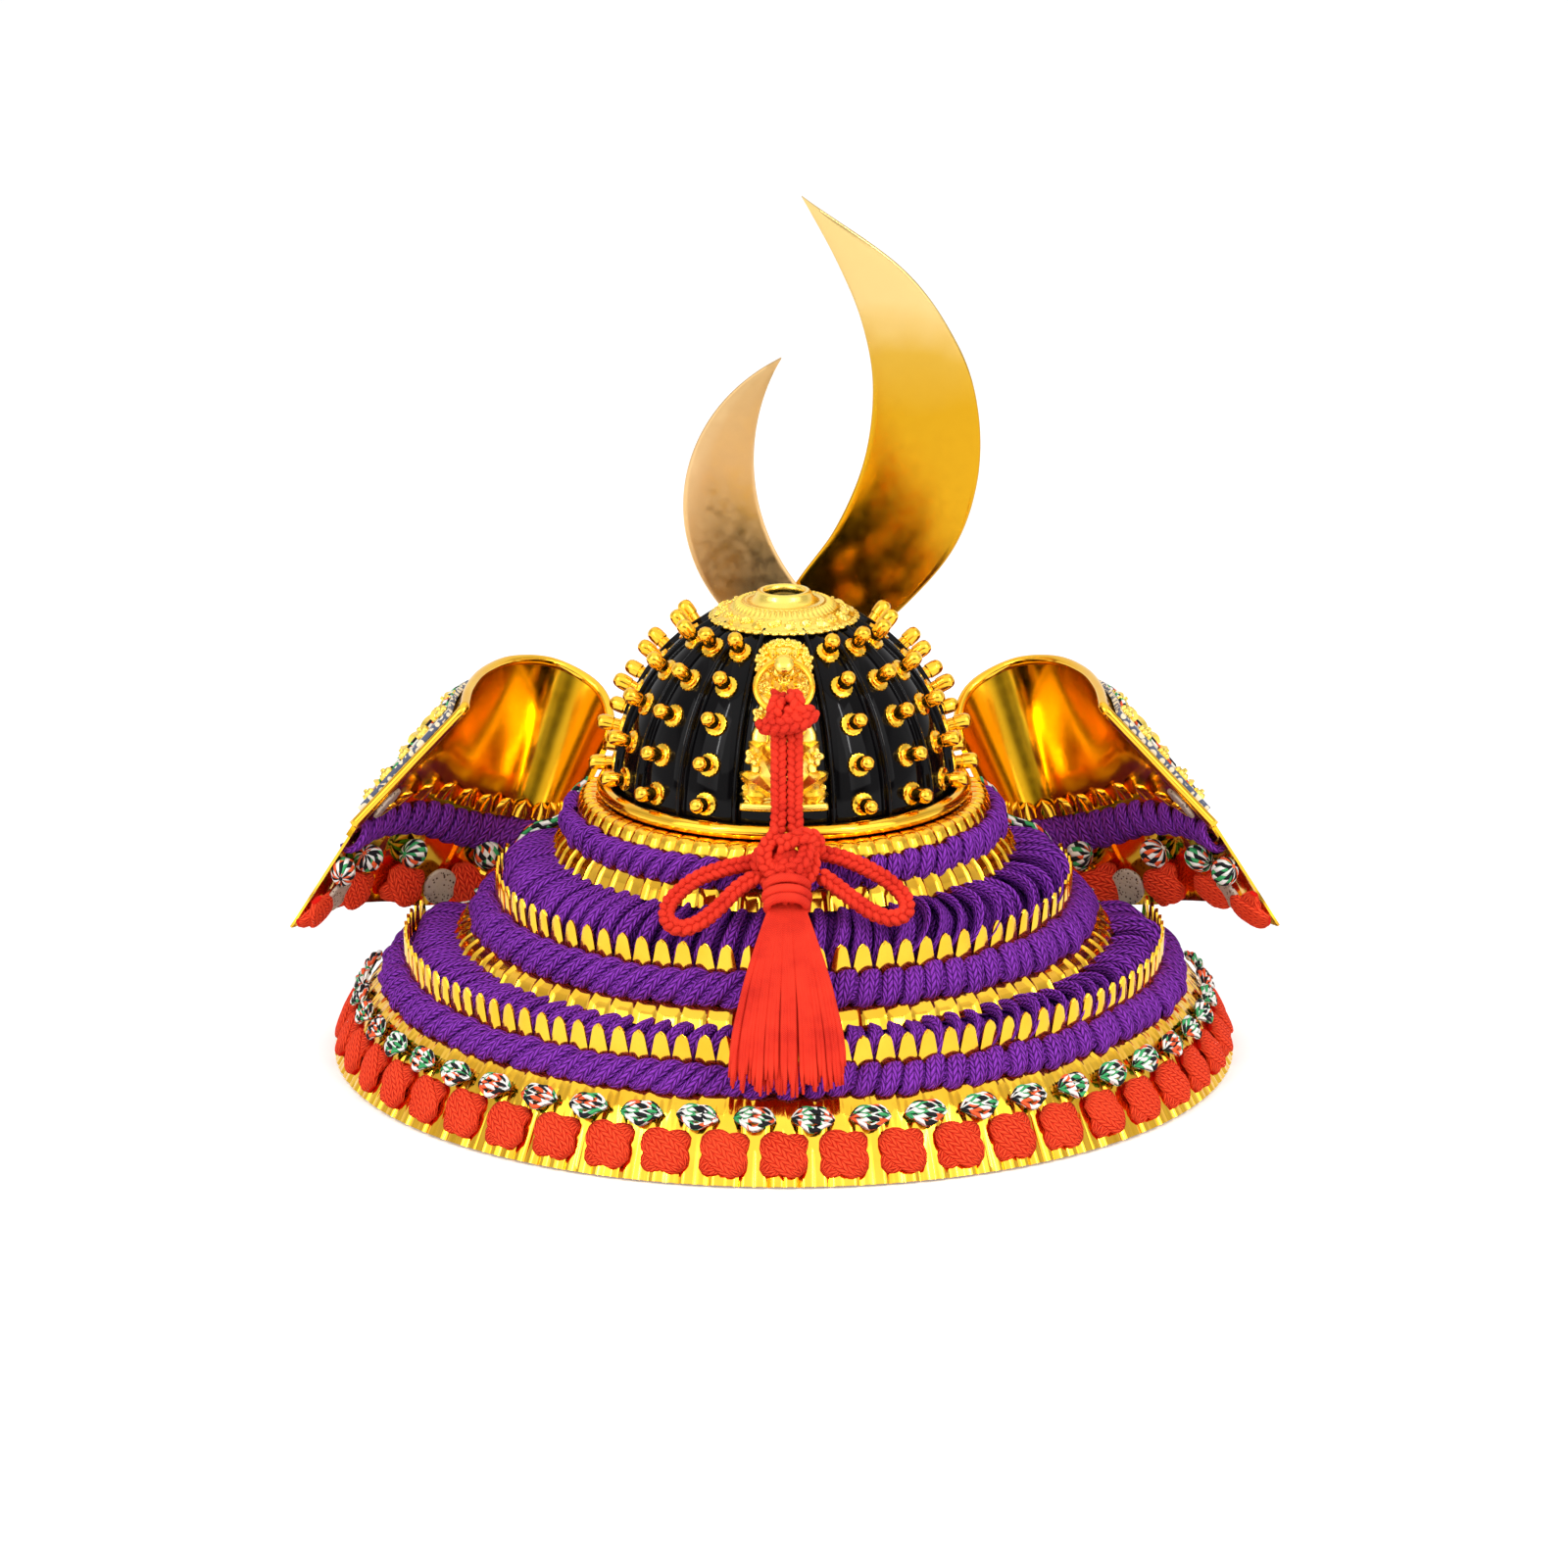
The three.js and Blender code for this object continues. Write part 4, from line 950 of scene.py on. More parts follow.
@dataclass
class TiedCord:
    """Red cord doubled over the ring, tied in a two-looped knot, with its tassel."""

    middle: float = 0.6
    spacing: float = 1.72
    strand: tuple = (
        (0, -34, 88.6), (0, -37.6, 86.2), (0, -39.2, 82.6), (0, -40.6, 78), (0, -42.2, 73),
        (0, -43.6, 68.2), (0, -46.2, 65.6),
    )
    loops: dict = field(default_factory=lambda: {
        "left": (
            (-5.9, -50.2, 57), (-11.6, -50.6, 55.6), (-17.4, -50.8, 53.6), (-21.8, -52, 50.8),
            (-24.4, -54.4, 48.2), (-24.4, -57.6, 46), (-21.6, -60.2, 45.1), (-17.6, -59.8, 46.3),
            (-13.4, -57.6, 49.2), (-9.6, -55.4, 52.4), (-6.2, -54.2, 54.4),
        ),
        "right": (
            (7.6, -49.4, 58.6), (12.2, -49.6, 57.4), (17.2, -50, 55.3), (22, -50.9, 52.6),
            (25.4, -53, 49.6), (25.6, -56, 47.3), (22.6, -58.2, 46.7), (18.6, -58.2, 48),
            (14.6, -56.8, 50.4), (11, -55.2, 52.8), (8.2, -54.2, 54.6),
        ),
    })
    wraps: tuple = (
        ((-1.4, -51, 62.9), (-4, -53.4, 60.4), (-3.6, -55.2, 57), (-0.6, -56.6, 55.9), (1, -55.6, 58.3)),
        ((-0.6, -53.6, 61), (2.8, -54.4, 63.3), (6, -52.6, 62.7), (7.2, -51, 60), (5.8, -50.4, 58.2)),
        ((-4, -52.2, 54.2), (-0.4, -56.4, 52.9), (3.4, -56.8, 53.7), (6, -54.6, 56.8), (5.4, -51.6, 59.6)),
        ((-1.6, -53.6, 57.6), (1.4, -57, 56.6), (4, -56.2, 58.6), (5, -52.8, 61.2)),
        ((-4.8, -50.6, 58.4), (-5.2, -52.6, 55.6), (-2.6, -54.6, 53.2), (0.4, -54.2, 52.4)),
        ((3.2, -54.6, 56.4), (2.6, -57.6, 54.4), (1.8, -58.8, 52.2), (1, -59.6, 50.6)),
    )
    hitches: tuple = (
        ((-4.2, -38.8, 83.4), (-3.6, -41.2, 83.8), (-0.6, -43, 84.2), (3, -42.8, 84.8), (5.4, -39.6, 85.2)),
        ((0.4, -41.2, 86.2), (2.8, -41.6, 86.6), (5, -40.2, 86.3), (5.6, -38.2, 85.6)),
        ((-1.9, -41, 85), (-2.1, -41, 86.6), (-1.6, -39.2, 88), (-1.2, -36.8, 87.6)),
        ((2.9, -41.2, 85.6), (3, -41, 87.8), (2.5, -39, 89.2), (2, -36.8, 88.6)),
    )

    def build(self) -> None:
        braid = BraidedCord()
        outs = np.array([0.0, -0.86, 0.5])
        knot = self._bundle("tied_knot", self.wraps, outs, "cord_knot")
        hitch = self._bundle("ring_hitch", self.hitches, outs, "cord_hitch")
        tassel = Tassel().build()
        for side, sign in SIDES.items():
            shift = np.array([self.middle + sign * self.spacing, 0.0, 0.0])
            down = [np.array(p) + shift for p in self.strand]
            through = [np.array([self.middle + sign * 2.6, -49.2, 61.4])]
            route = catmull(down + through + [np.array(p) for p in self.loops[side]], np.linspace(0, 1, 120))
            piece = braid.make(f"tied_cord_{side}", route, outs, RED_YARN)
            finished(piece, RED_YARN, f"cord_strand_{side}", f"cord_loop_{side}")

    def _bundle(self, name: str, arcs: Sequence, outs: Points, node: str) -> bpy.types.Object:
        """Makes one piece of several short plaited arcs."""
        parts = []
        heart = Body()
        middle = np.mean([np.mean(arc, axis=0) for arc in arcs], axis=0) + np.array([0.0, 1.2, 0.0])
        wide, tall = (4.0, 3.6) if len(arcs) > 4 else (3.4, 1.4)
        run = middle + np.outer(np.linspace(-1, 1, 9), np.array([0.0, -0.3, 0.95])) * tall
        swell = np.sqrt(np.clip(1 - np.linspace(-1, 1, 9) ** 2, 0.1, 1))
        heart.sweep(run, outs, wide * swell, 2.3 * swell, ellipse(16, 2.6))
        parts.append(heart.mesh(name + "_heart", RED_YARN))
        for number, arc in enumerate(arcs):
            route = catmull(arc, np.linspace(0, 1, 30))
            parts.append(BraidedCord().make(f"{name}_{number}", route, outs, RED_YARN))
        return finished(joined(name, parts), RED_YARN, node)


@dataclass
class Tassel:
    """Bound head over a skirt of twisted threads that lies down the neck guard."""

    middle: float = 0.6
    line: tuple = ((-58.2, 51.4), (-66.2, 45.6), (-77.6, 37.2), (-88.2, 29.6), (-95.2, 19.2))
    halves: tuple = (2.6, 5.6, 9.2, 11.4, 12.6)
    threads: int = 30
    layers: int = 3
    thread: float = 0.52

    def build(self) -> bpy.types.Object:
        """Makes the tassel.

        Returns:
            The finished piece.
        """
        rng = np.random.default_rng(5)
        share = np.linspace(0, 1, 15)
        line = catmull(self.line, share)
        half = catmull([(h,) for h in self.halves], share)[:, 0]
        run = unit(np.gradient(np.column_stack([np.zeros(15), line]), axis=0))
        out = np.cross(run, np.array([-1.0, 0.0, 0.0]))
        body = Body()
        for layer in range(self.layers):
            for number in range(self.threads):
                side = (number + 0.5 + 0.5 * (layer % 2)) / self.threads * 2 - 1
                side = min(max(side + rng.normal(0, 0.012), -1.0), 1.0)
                dome = math.sqrt(max(1 - side * side * 0.92, 0.05))
                lift = (1.55 - layer * 0.85) * dome
                wander = np.cumsum(rng.normal(0, 0.05, 15)) * share
                ends = 1.0 - 0.10 * rng.random() - 0.05 * side * side
                keep = np.clip(share * ends, 0, 1)
                middle = np.stack([np.interp(keep, share, line[:, k]) for k in range(2)], axis=1)
                wide = np.interp(keep, share, half)
                path = np.column_stack([self.middle + side * wide + wander, middle])
                path += out * lift
                thick = np.full(15, self.thread) * (1 + 0.12 * rng.random())
                thick[-1] *= 0.55
                body.sweep(path, out, thick, thick, ellipse(6))
        skirt = body.mesh("tassel_threads", RED_YARN)
        arcs = []
        for step, (y, z, wide) in enumerate(((-57.6, 53.4, 4.3), (-59.4, 51.6, 4.5), (-61.2, 50.2, 4.2))):
            turn = np.linspace(0, math.tau, 25)[:-1]
            ring = Body()
            centre = np.array([self.middle, y, z])
            lean = unit(np.array([0.0, -0.58, 0.81]))
            rows = centre + np.outer(np.cos(turn) * wide, [1, 0, 0]) + np.outer(np.sin(turn) * 3.1, lean)
            outs = unit(rows - centre)
            closed = np.vstack([rows, rows[:1]])
            ring.sweep(closed, np.vstack([outs, outs[:1]]), 1.15, 0.95, ellipse(8))
            arcs.append(ring.mesh(f"tassel_band_{step}", RED_YARN))
        return finished(joined("cord_tassel", [skirt, *arcs]), RED_YARN, "tassel")


# ---------- cast ornament ----------
class Castings:
    """Small cast shapes, set over a surface given by its points at x, z and a lift."""

    @staticmethod
    def leaf() -> bpy.types.Object:
        """Lobed leaf from the origin to x = 1, with a rib down its middle."""
        run, side = np.linspace(0, 1, 15)[:, None], np.linspace(-1, 1, 9)[None, :]
        half = 0.5 * np.sin(np.pi * run**0.7) ** 0.7 * (1 - 0.13 * np.cos(run * 17)) + 0.01
        high = (0.35 + 0.65 * np.sin(np.pi * (0.1 + 0.8 * run))) * (1 - 0.75 * np.abs(side) ** 1.6)
        high = high + 0.22 * np.exp(-((side * 5) ** 2)) - 0.08 * np.abs(np.cos(run * 8.5)) * np.abs(side)
        front = np.stack(np.broadcast_arrays(run, side * half, high), axis=-1)
        back = np.stack(np.broadcast_arrays(run, side * half, 0 * high - 0.2), axis=-1)
        return crisp(Body().slab(front, back).mesh("leaf", CAST, on_axis=False), 60)

    @staticmethod
    def blossom(petals: int = 5, centre: float = 0.55, sides: int = 40) -> bpy.types.Object:
        """Round flower of radius 1 with a raised centre."""
        turn = full_turn(sides)
        petal = np.abs(np.cos(turn * petals / 2))
        rings = []
        for radius, high, wave in ((0.95, -0.2, 0.25), (1.0, 0.1, 0.3), (0.92, 0.55, 0.3), (0.7, 0.85, 0.22),
                                   (0.45, 0.62, 0.1), (0.32, 0.6, 0.0), (0.28, 0.6 + centre, 0.0),
                                   (0.12, 0.75 + centre, 0.0)):
            reach = radius * (1 - wave * (1 - petal))
            rings.append(np.stack([reach * np.cos(turn), reach * np.sin(turn), high * (0.75 + 0.25 * petal)], axis=-1))
        return Body().tube(rings).mesh("blossom", CAST, on_axis=False)

    @staticmethod
    def set(name: str, piece: bpy.types.Object, surface: Surface, rows: Points) -> bpy.types.Object:
        """Sets copies of a casting over a surface.

        Args:
            name: the new piece's name.
            piece: the casting; it is used up.
            surface: gives points for x, z and lift arrays.
            rows: x, z, length, width, lean in degrees and height of each copy.

        Returns:
            The new object.
        """
        x, z, length, width, lean, high = np.asarray(rows, float).T
        seat = surface(x, z, 0 * x + 0.9)
        out = unit(surface(x, z, 0 * x + 1.9) - seat)
        right = unit(surface(x + 0.2, z, 0 * x + 0.9) - seat)
        up = np.cross(out, right)
        turn = np.radians(lean)[:, None]
        ahead = unit(right * np.cos(turn) + up * np.sin(turn))
        poses = pose_of(ahead, np.cross(out, ahead), out)
        return COPIES.place(name, piece, CAST, in_frame(seat), poses, sizes=np.column_stack([length, width, high]))

    @classmethod
    def both_sides(cls, name: str, surface: Surface, leaves: Sequence = (),
                   blossoms: Sequence = (), domes: Sequence = ()) -> list[bpy.types.Object]:
        """Sets castings on both sides of the line x = 0.

        Args:
            name: start of the pieces' names.
            surface: gives points for x, z and lift arrays.
            leaves: x, z, length, width, lean and height of each.
            blossoms: x, z, radius and height of each.
            domes: likewise.

        Returns:
            The new objects.
        """
        made = []
        rows = [(m * x, z, l, w, a if m > 0 else 180 - a, h) for x, z, l, w, a, h in leaves for m in (1, -1)]
        made.append(cls.set(name + "_leaves", cls.leaf(), surface, rows))
        rows = [(m * x, z, r, r, 30 * m * (x + z), h) for x, z, r, h in blossoms for m in ((1, -1) if x else (1,))]
        made.append(cls.set(name + "_blossoms", cls.blossom(), surface, rows))
        rows = [(m * x, z, r, r, 0, h) for x, z, r, h in domes for m in ((1, -1) if x else (1,))]
        if rows:
            made.append(cls.set(name + "_domes", cls.blossom(2, 0.2, 24), surface, rows))
        return made


# ---------- bowl ----------
@dataclass
class Bowl:
    """Ribbed lacquered bowl with its rows of studs, crown mount, hoop, relief plate and ring."""

    radius: float = 36.5
    height: float = 40.7
    rim: float = 59.5
    skirt: float = 55.6
    wall: float = 1.6
    hole: float = 4.2
    ribs: tuple = (16.5, 37.5, 58.5, 79.5, 100.5, 121.5, 142.5, 163.5)
    rivet_heights: tuple = (64.3, 72.4, 80.4, 87.4, 93.4)
    hoop: tuple = (39.0, 59.7, 1.65)  # radius, height and half its thickness
    plate: float = 37.0  # height of the rear plate
    ring: tuple = (6.0, 0.68)  # radius and half its thickness

    def at(self, degrees: object, elevation: object, lift: object = 0.0) -> Points:
        """Points on the bowl at angles and elevations, lifted off it."""
        cos, sin = np.cos(np.radians(elevation)), np.sin(np.radians(elevation))
        slope = unit(np.stack(np.broadcast_arrays(cos / self.radius, sin / self.height), axis=-1))
        radius = self.radius * cos + slope[..., 0] * lift
        return turned(degrees, radius, self.rim + self.height * sin + slope[..., 1] * lift)

    def out(self, degrees: object, elevation: object) -> Points:
        """Outward directions of the bowl."""
        return self.at(degrees, elevation, 1.0) - self.at(degrees, elevation)

    def build(self) -> None:
        """Makes every piece of the bowl."""
        self._shell()
        self._rivets()
        self._crown_mount()
        self._hoop()
        self._rear_plate()
        self._ring()

    def _columns(self) -> tuple[Points, Points, Points]:
        """Ribs, offsets from them in millimetres, and heights of the rib there."""
        ribs = np.sort(np.array([*self.ribs, *(360 - r for r in self.ribs)]))
        offsets = np.array([0.0, 0.28, 0.46, 0.60, 0.78, 1.0, 1.35])
        lifts = np.array([1.15, 1.1, 0.86, 0.35, -0.05, -0.16, 0.0])
        return ribs, offsets, lifts

    def _shell(self) -> None:
        """The bowl itself, with a raised rib at each plate's edge."""
        ribs, offsets, lifts = self._columns()
        elevations = np.concatenate([np.linspace(0, 78, 44), np.linspace(79, 83.4, 5)])
        fade = np.clip((72 - elevations) / 5, 0, 1)
        rows = []
        for elevation, keep in zip(elevations, fade):
            spread = np.degrees(offsets / max(self.radius * math.cos(math.radians(elevation)), 13.0))
            angles, heights = [], []
            for k, rib in enumerate(ribs):
                following = ribs[(k + 1) % len(ribs)] + (360 if k == len(ribs) - 1 else 0)
                inner = np.linspace(rib + spread[-1], following - spread[-1], 12)
                bulge = 0.35 * np.sin(np.pi * (inner - inner[0]) / (inner[-1] - inner[0]))
                angles += [*(rib + spread[:-1]), *inner, *(following - spread[:0:-1])[1:]]
                heights += [*lifts[:-1], *bulge, *lifts[:0:-1][1:]]
            rows.append(self.at(np.array(angles), elevation, np.array(heights) * keep))
        outer = np.array(rows)
        foot = outer[0].copy()
        foot[:, 2] = self.skirt
        inner_rows = np.array([self.at(np.linspace(0, 360, outer.shape[1], endpoint=False), e, -self.wall)
                               for e in np.linspace(0, 83.0, 16)])
        low = inner_rows[0].copy()
        low[:, 2] = self.skirt
        shell = np.concatenate([foot[None], outer, inner_rows[::-1], low[None]])
        body = Body()
        body.grid(shell, loop_rows=True, loop_columns=True)
        body.piece("lacquered_bowl", LACQUER, "bowl_shell", sharp=50)

    def _rivets(self) -> None:
        """Studs on notched washers, five to a plate; at the front the crown mount takes the fifth's place."""
        body = Body()
        notches = 36
        turn = full_turn(notches)
        notch = np.where(np.arange(notches) % 2 == 0, 1.0, 0.94)
        stud = ((0.0, -0.5, 0), (2.62, -0.5, 0), (2.68, 0.18, 1), (2.5, 0.46, 1), (1.9, 0.56, 1), (1.75, 0.62, 0),
                (1.45, 0.75, 0), (1.45, 2, 0), (1.68, 2.25, 0), (1.7, 3.9, 0), (1.55, 4.8, 0), (1.18, 5.4, 0),
                (0.62, 5.7, 0), (0, 5.8, 0))
        rings = []
        for radius, height, is_notched in stud[1:-1]:
            r = radius * (notch if is_notched else 1.0)
            rings.append(np.stack(np.broadcast_arrays(r * np.cos(turn), r * np.sin(turn), height), axis=-1))
        body.tube(rings)
        rivet = crisp(body.mesh("rivet", GILT, on_axis=False), 40)
        middles = (np.array(self.ribs[:-1]) + np.array(self.ribs[1:])) / 2
        angles = np.array([a * s for a in middles for s in (1, -1) for _ in self.rivet_heights])
        heights = np.array(list(self.rivet_heights) * (2 * len(middles)))
        kept = (np.abs(angles) < 120) | (heights < self.rivet_heights[-1])
        angles, heights = angles[kept], heights[kept]
        elevations = np.degrees(np.arcsin((heights - self.rim) / self.height))
        out = self.out(angles, elevations)
        along = turned(angles + 90, 1.0, 0.0)
        where = in_frame(self.at(angles, elevations, 0.3))
        poses = pose_of(along, np.cross(out, along), out)
        piece = COPIES.place("bowl_rivets", rivet, GILT, where, poses, turn_wobble=0.06, size_wobble=0.02, seed=3)
        finished(piece, GILT)

    def _crown_mount(self) -> None:
        """Tiered mount round the crown hole: scalloped rim, scrolls, petals, cove and lip."""
        columns = 432
        angle = np.linspace(0, 360, columns, endpoint=False)
        lobes = np.abs(np.cos(np.radians(angle) * 24))
        petals = np.abs(np.cos(np.radians(angle) * 27))
        scrolls = np.sin(np.radians(angle) * 12)
        tiers = (
            # radius, height, then rim lobes, scroll relief and petal relief where there are any
            (15.4, 96.9, 0.6), (15.9, 96.7, 0.6), (16.1, 97.1, 0.6), (15.9, 97.5, 0.6, 0.15),
            (15.4, 97.65, 0.3, 0.35), (14.8, 97.9, 0, 0.5), (14.2, 98.2, 0, -0.5), (13.6, 98.5, 0, 0.5),
            (13, 98.8, 0, -0.5), (12.4, 99.1, 0, 0.4), (11.8, 99.3), (11.3, 99.45, 0, 0, 0.1),
            (10.9, 99.95, 0, 0, 0.55), (10.2, 100.45, 0, 0, 0.6), (9.5, 100.6, 0, 0, 0.45), (9.1, 100.45),
            (8.9, 100.7), (8.5, 100.8), (8.2, 100.6), (7.6, 100.75), (6.9, 101.1), (6.4, 101.6), (6.1, 102),
            (5.95, 102.5), (5.6, 102.9), (5.1, 103.05), (4.6, 102.9), (4.3, 102.4), (4.3, 100.8), (5.4, 100.3),
            (9.6, 99.3), (13, 97.9),
        )
        rows = []
        for row, (radius, height, *reliefs) in enumerate(tiers):
            rim, scroll, petal = (*reliefs, 0.0, 0.0, 0.0)[:3]
            phase = np.sin(np.radians(angle) * 12 + row * 1.9)
            lift = scroll * 0.42 * (0.6 * phase + 0.4 * scrolls * np.sin(np.radians(angle) * 36 + row))
            rows.append(turned(angle, radius + rim * (lobes - 0.6), height + lift + petal * (petals - 0.5)))
        body = Body()
        body.grid(np.array(rows), loop_rows=True, loop_columns=True)
        angles = np.arange(0, 360, 15.0)
        size = np.ones_like(angles)
        scrolls = np.column_stack([angles, 0 * size, 3.1 * size, 1.9 * size,
                                   28 * np.where(angles % 30 > 0, 1, -1), 0.75 * size])
        blooms = np.column_stack([angles + 7.5, 0.5 * size, 1.15 * size, 1.15 * size, 0 * size, 0.75 * size])
        beads = np.column_stack([np.arange(0, 360, 5.0), *np.full((72, 5), (-2.3, 0.62, 0.62, 0.0, 0.5)).T])
        parts = [body.mesh("crown_rosette", CAST), Castings.set("crown_scrolls", Castings.leaf(), self._crown, scrolls),
                 Castings.set("crown_blooms", Castings.blossom(), self._crown, blooms),
                 Castings.set("crown_beads", Castings.blossom(2, 0.1, 12), self._crown, beads)]
        finished(joined("crown_rosette", parts), CAST, "crown_mount")

    def _crown(self, degrees: Points, inward: Points, lift: Points) -> Points:
        """Points on the mount's broad slope, by angle, millimetres towards its middle and lift."""
        return turned(degrees, 13.4 - inward * 0.9 + (lift - 0.9) * 0.42, 98.35 + inward * 0.43 + (lift - 0.9) * 0.9)

    def _hoop(self) -> None:
        """Round gilt hoop at the bowl's foot."""
        body = Body()
        turn = full_turn(20)
        angle = np.linspace(0, 360, 240, endpoint=False)
        radius, height, thick = self.hoop
        rows = [turned(angle, radius + thick * math.cos(t), height + thick * math.sin(t)) for t in turn]
        body.grid(np.array(rows), loop_rows=True, loop_columns=True)
        body.piece("bowl_hoop", GILT, "rim_hoop")

    def _rear_plate(self) -> None:
        """Cast plate down the back: a beast's mask over blossoms, leaves and a foot moulding."""
        rise = np.linspace(0, self.plate, 75)
        outline = catmull([(8.4,), (8.6,), (7.4,), (7.6,), (6.2,), (5.2,), (5.0,), (5.4,), (5.2,), (3.0,)],
                          rise / self.plate)
        side = np.linspace(-1, 1, 25)[None, :]
        wavy = outline + 0.3 * np.sin(rise * 1.3)[:, None]
        edge = np.sqrt(np.clip((1 - np.abs(side)) * 6, 0.02, 1))
        front = self._plate(side * wavy, rise[:, None] + 0 * side, 0.5 + 0.75 * edge)
        body = Body()
        body.slab(front, self._plate(side * wavy, rise[:, None] + 0 * side, 0.2 + 0 * edge))
        for height, half, thick in ((0.9, 8.9, 0.95), (2.7, 8.3, 0.55)):
            across = np.linspace(-half, half, 25)
            path = self._plate(across, height + 0 * across, 1.5 + 0 * across)
            body.sweep(path, self.out(0.0, 8.0), thick, thick, ellipse(10, 2.6))
        parts = [body.mesh("rear_relief", CAST)]
        leaves = ((0.8, 3.4, 9.6, 6.0, 66, 2.3), (1.6, 3.2, 9.2, 5.4, 32, 2.2), (3.4, 3.0, 6.0, 3.8, 4, 1.8),
                  (0.4, 9, 8.4, 5.2, 74, 2.4), (2.4, 10, 6.6, 4.2, 38, 2), (2, 15.2, 5.8, 3.8, 58, 2),
                  (1.4, 20.4, 5.2, 3.4, 40, 1.8), (0.7, 32, 3.6, 2.2, 28, 1.9), (3.6, 33.4, 2.4, 1.8, 66, 1.4),
                  (0, 24.4, 3.6, 3, 40, 1.6))
        blossoms = ((6.2, 10.6, 2.3, 1.7), (4.6, 19.0, 2.3, 1.7), (0.0, 17.0, 2.6, 2.2), (4.0, 24.8, 1.9, 1.4),
                    (4.7, 29.2, 1.6, 1.6), (4.9, 27, 1.5, 1.5), (4.8, 31.4, 1.5, 1.6), (4, 33.4, 1.4, 1.5),
                    (2.6, 34.9, 1.4, 1.5), (0.9, 35.8, 1.4, 1.4))
        domes = ((0.0, 28.6, 2.9, 2.6), (1.9, 28.9, 1.7, 2.5), (1.75, 31.3, 0.85, 2.7), (0.0, 33.0, 2.1, 1.8),
                 (0, 30.8, 1.2, 2.9), (0, 26.4, 1.5, 1.9), (7.9, 4.6, 0.9, 1.3), (0, 20.6, 1.5, 1.5))
        parts += Castings.both_sides("relief", self._plate, leaves, blossoms, domes)
        out, seat = self.out(0.0, 48.0), self.at(0.0, 48.0)
        knob = Body()
        turn = full_turn(24)
        rings = []
        for radius, rise_by in ((0.95, 1.2), (0.95, 5.0), (1.9, 5.2), (2.15, 5.7), (2.1, 6.3), (1.6, 6.85), (0.8, 7.1)):
            rings.append(seat + out * rise_by + radius * ring_in(turn, ACROSS, np.cross(out, ACROSS)))
        knob.tube(rings)
        finished(joined("rear_relief", [*parts, knob.mesh("ring_knob", CAST)]), CAST, "rear_plate")

    def _plate(self, across: Points, rise: Points, lift: Points) -> Points:
        """Points over the bowl's back, by millimetres across it, up it and off it."""
        elevation = 6 + 56 * rise / self.plate
        return self.at(np.degrees(across / (self.radius * np.cos(np.radians(elevation)))), elevation, lift)

    def _ring(self) -> None:
        """Wire ring that hangs on the knob."""
        out = self.out(0.0, 42.0)
        up = np.cross(out, ACROSS)
        centre = self.at(0.0, 48.0, 3.6) - up * 4.1
        turn = np.linspace(0, math.tau, 73)[:-1]
        rows = []
        for t in full_turn(12):
            radius = self.ring[0] + self.ring[1] * math.cos(t)
            rows.append(centre + radius * ring_in(turn, ACROSS, up) + out * (0.3 + self.ring[1] * math.sin(t)))
        body = Body()
        body.grid(np.array(rows), loop_rows=True, loop_columns=True)
        body.piece("hanging_ring", GILT, "rear_ring")


# ---------- neck guard ----------
@dataclass
class Hoop:
    """One hoop of the neck guard: its profile with flutes and creases, and its row of leaf tips."""

    name: str
    node: str
    pitch: float
    profile: tuple  # radius, height, flute, crease
    tip_foot: tuple = ()
    tip_count: int = 0
    tip_size: tuple = (2.36, 8.3)
    flutes: int = 1
    crease_width: float = 0.16
    thickness: float = 0.55

    def build(self) -> None:
        """Makes the fluted sheet and its tips."""
        table = np.array(self.profile, float)
        rows = resampled(table, 3 * len(table))
        per_pitch = 6 + 4 * self.flutes
        columns = int(round(2 * LAME_END / self.pitch)) * per_pitch
        turn = np.linspace(-LAME_END, LAME_END, columns + 1)
        run = unit(np.gradient(rows[:, :2], axis=0))
        grid = turned(turn[None, :], rows[:, :1], rows[:, 1:2])
        out = turned(turn[None, :], -run[:, 1:2], run[:, :1])
        sheet = FLUTES.fold(self.name, grid, turn[None, :], out, rows[:, 2], rows[:, 3],
                            self.pitch, self.crease_width, self.thickness, self.flutes)
        parts = [sheet]
        if self.tip_foot:
            parts.append(self._tips())
        finished(joined(self.name, parts), GILT, self.node)

    def _tips(self) -> bpy.types.Object:
        """Leaf-shaped tips along the upper edge."""
        width, height = self.tip_size
        radius, foot = self.tip_foot
        rise = np.linspace(0, 1, 14)[:, None]
        across = np.linspace(-1, 1, 9)[None, :]
        taper = 1 - 0.55 * np.clip((rise - 0.2) / 0.8, 0, 1)
        half = width * taper * np.sqrt(np.clip(1 - np.clip((rise - 0.78) / 0.22, 0, 1) ** 2, 0.01, 1))
        gable = 0.42 * (1 - np.abs(across) ** 1.5) * (1 - 0.4 * rise)
        lean = 0.7 + 0.25 * rise
        front = np.stack(np.broadcast_arrays(across * half, -(radius + lean + gable), foot + height * rise), axis=-1)
        tip = crisp(Body().slab(front, front + np.array([0.0, 0.45, 0.0])).mesh("tip", GILT, on_axis=False), 18)
        places, poses = round_axis(self.tip_count)
        return COPIES.place(self.name + "_tips", tip, GILT, places, poses, turn_wobble=0.0015, seed=9)


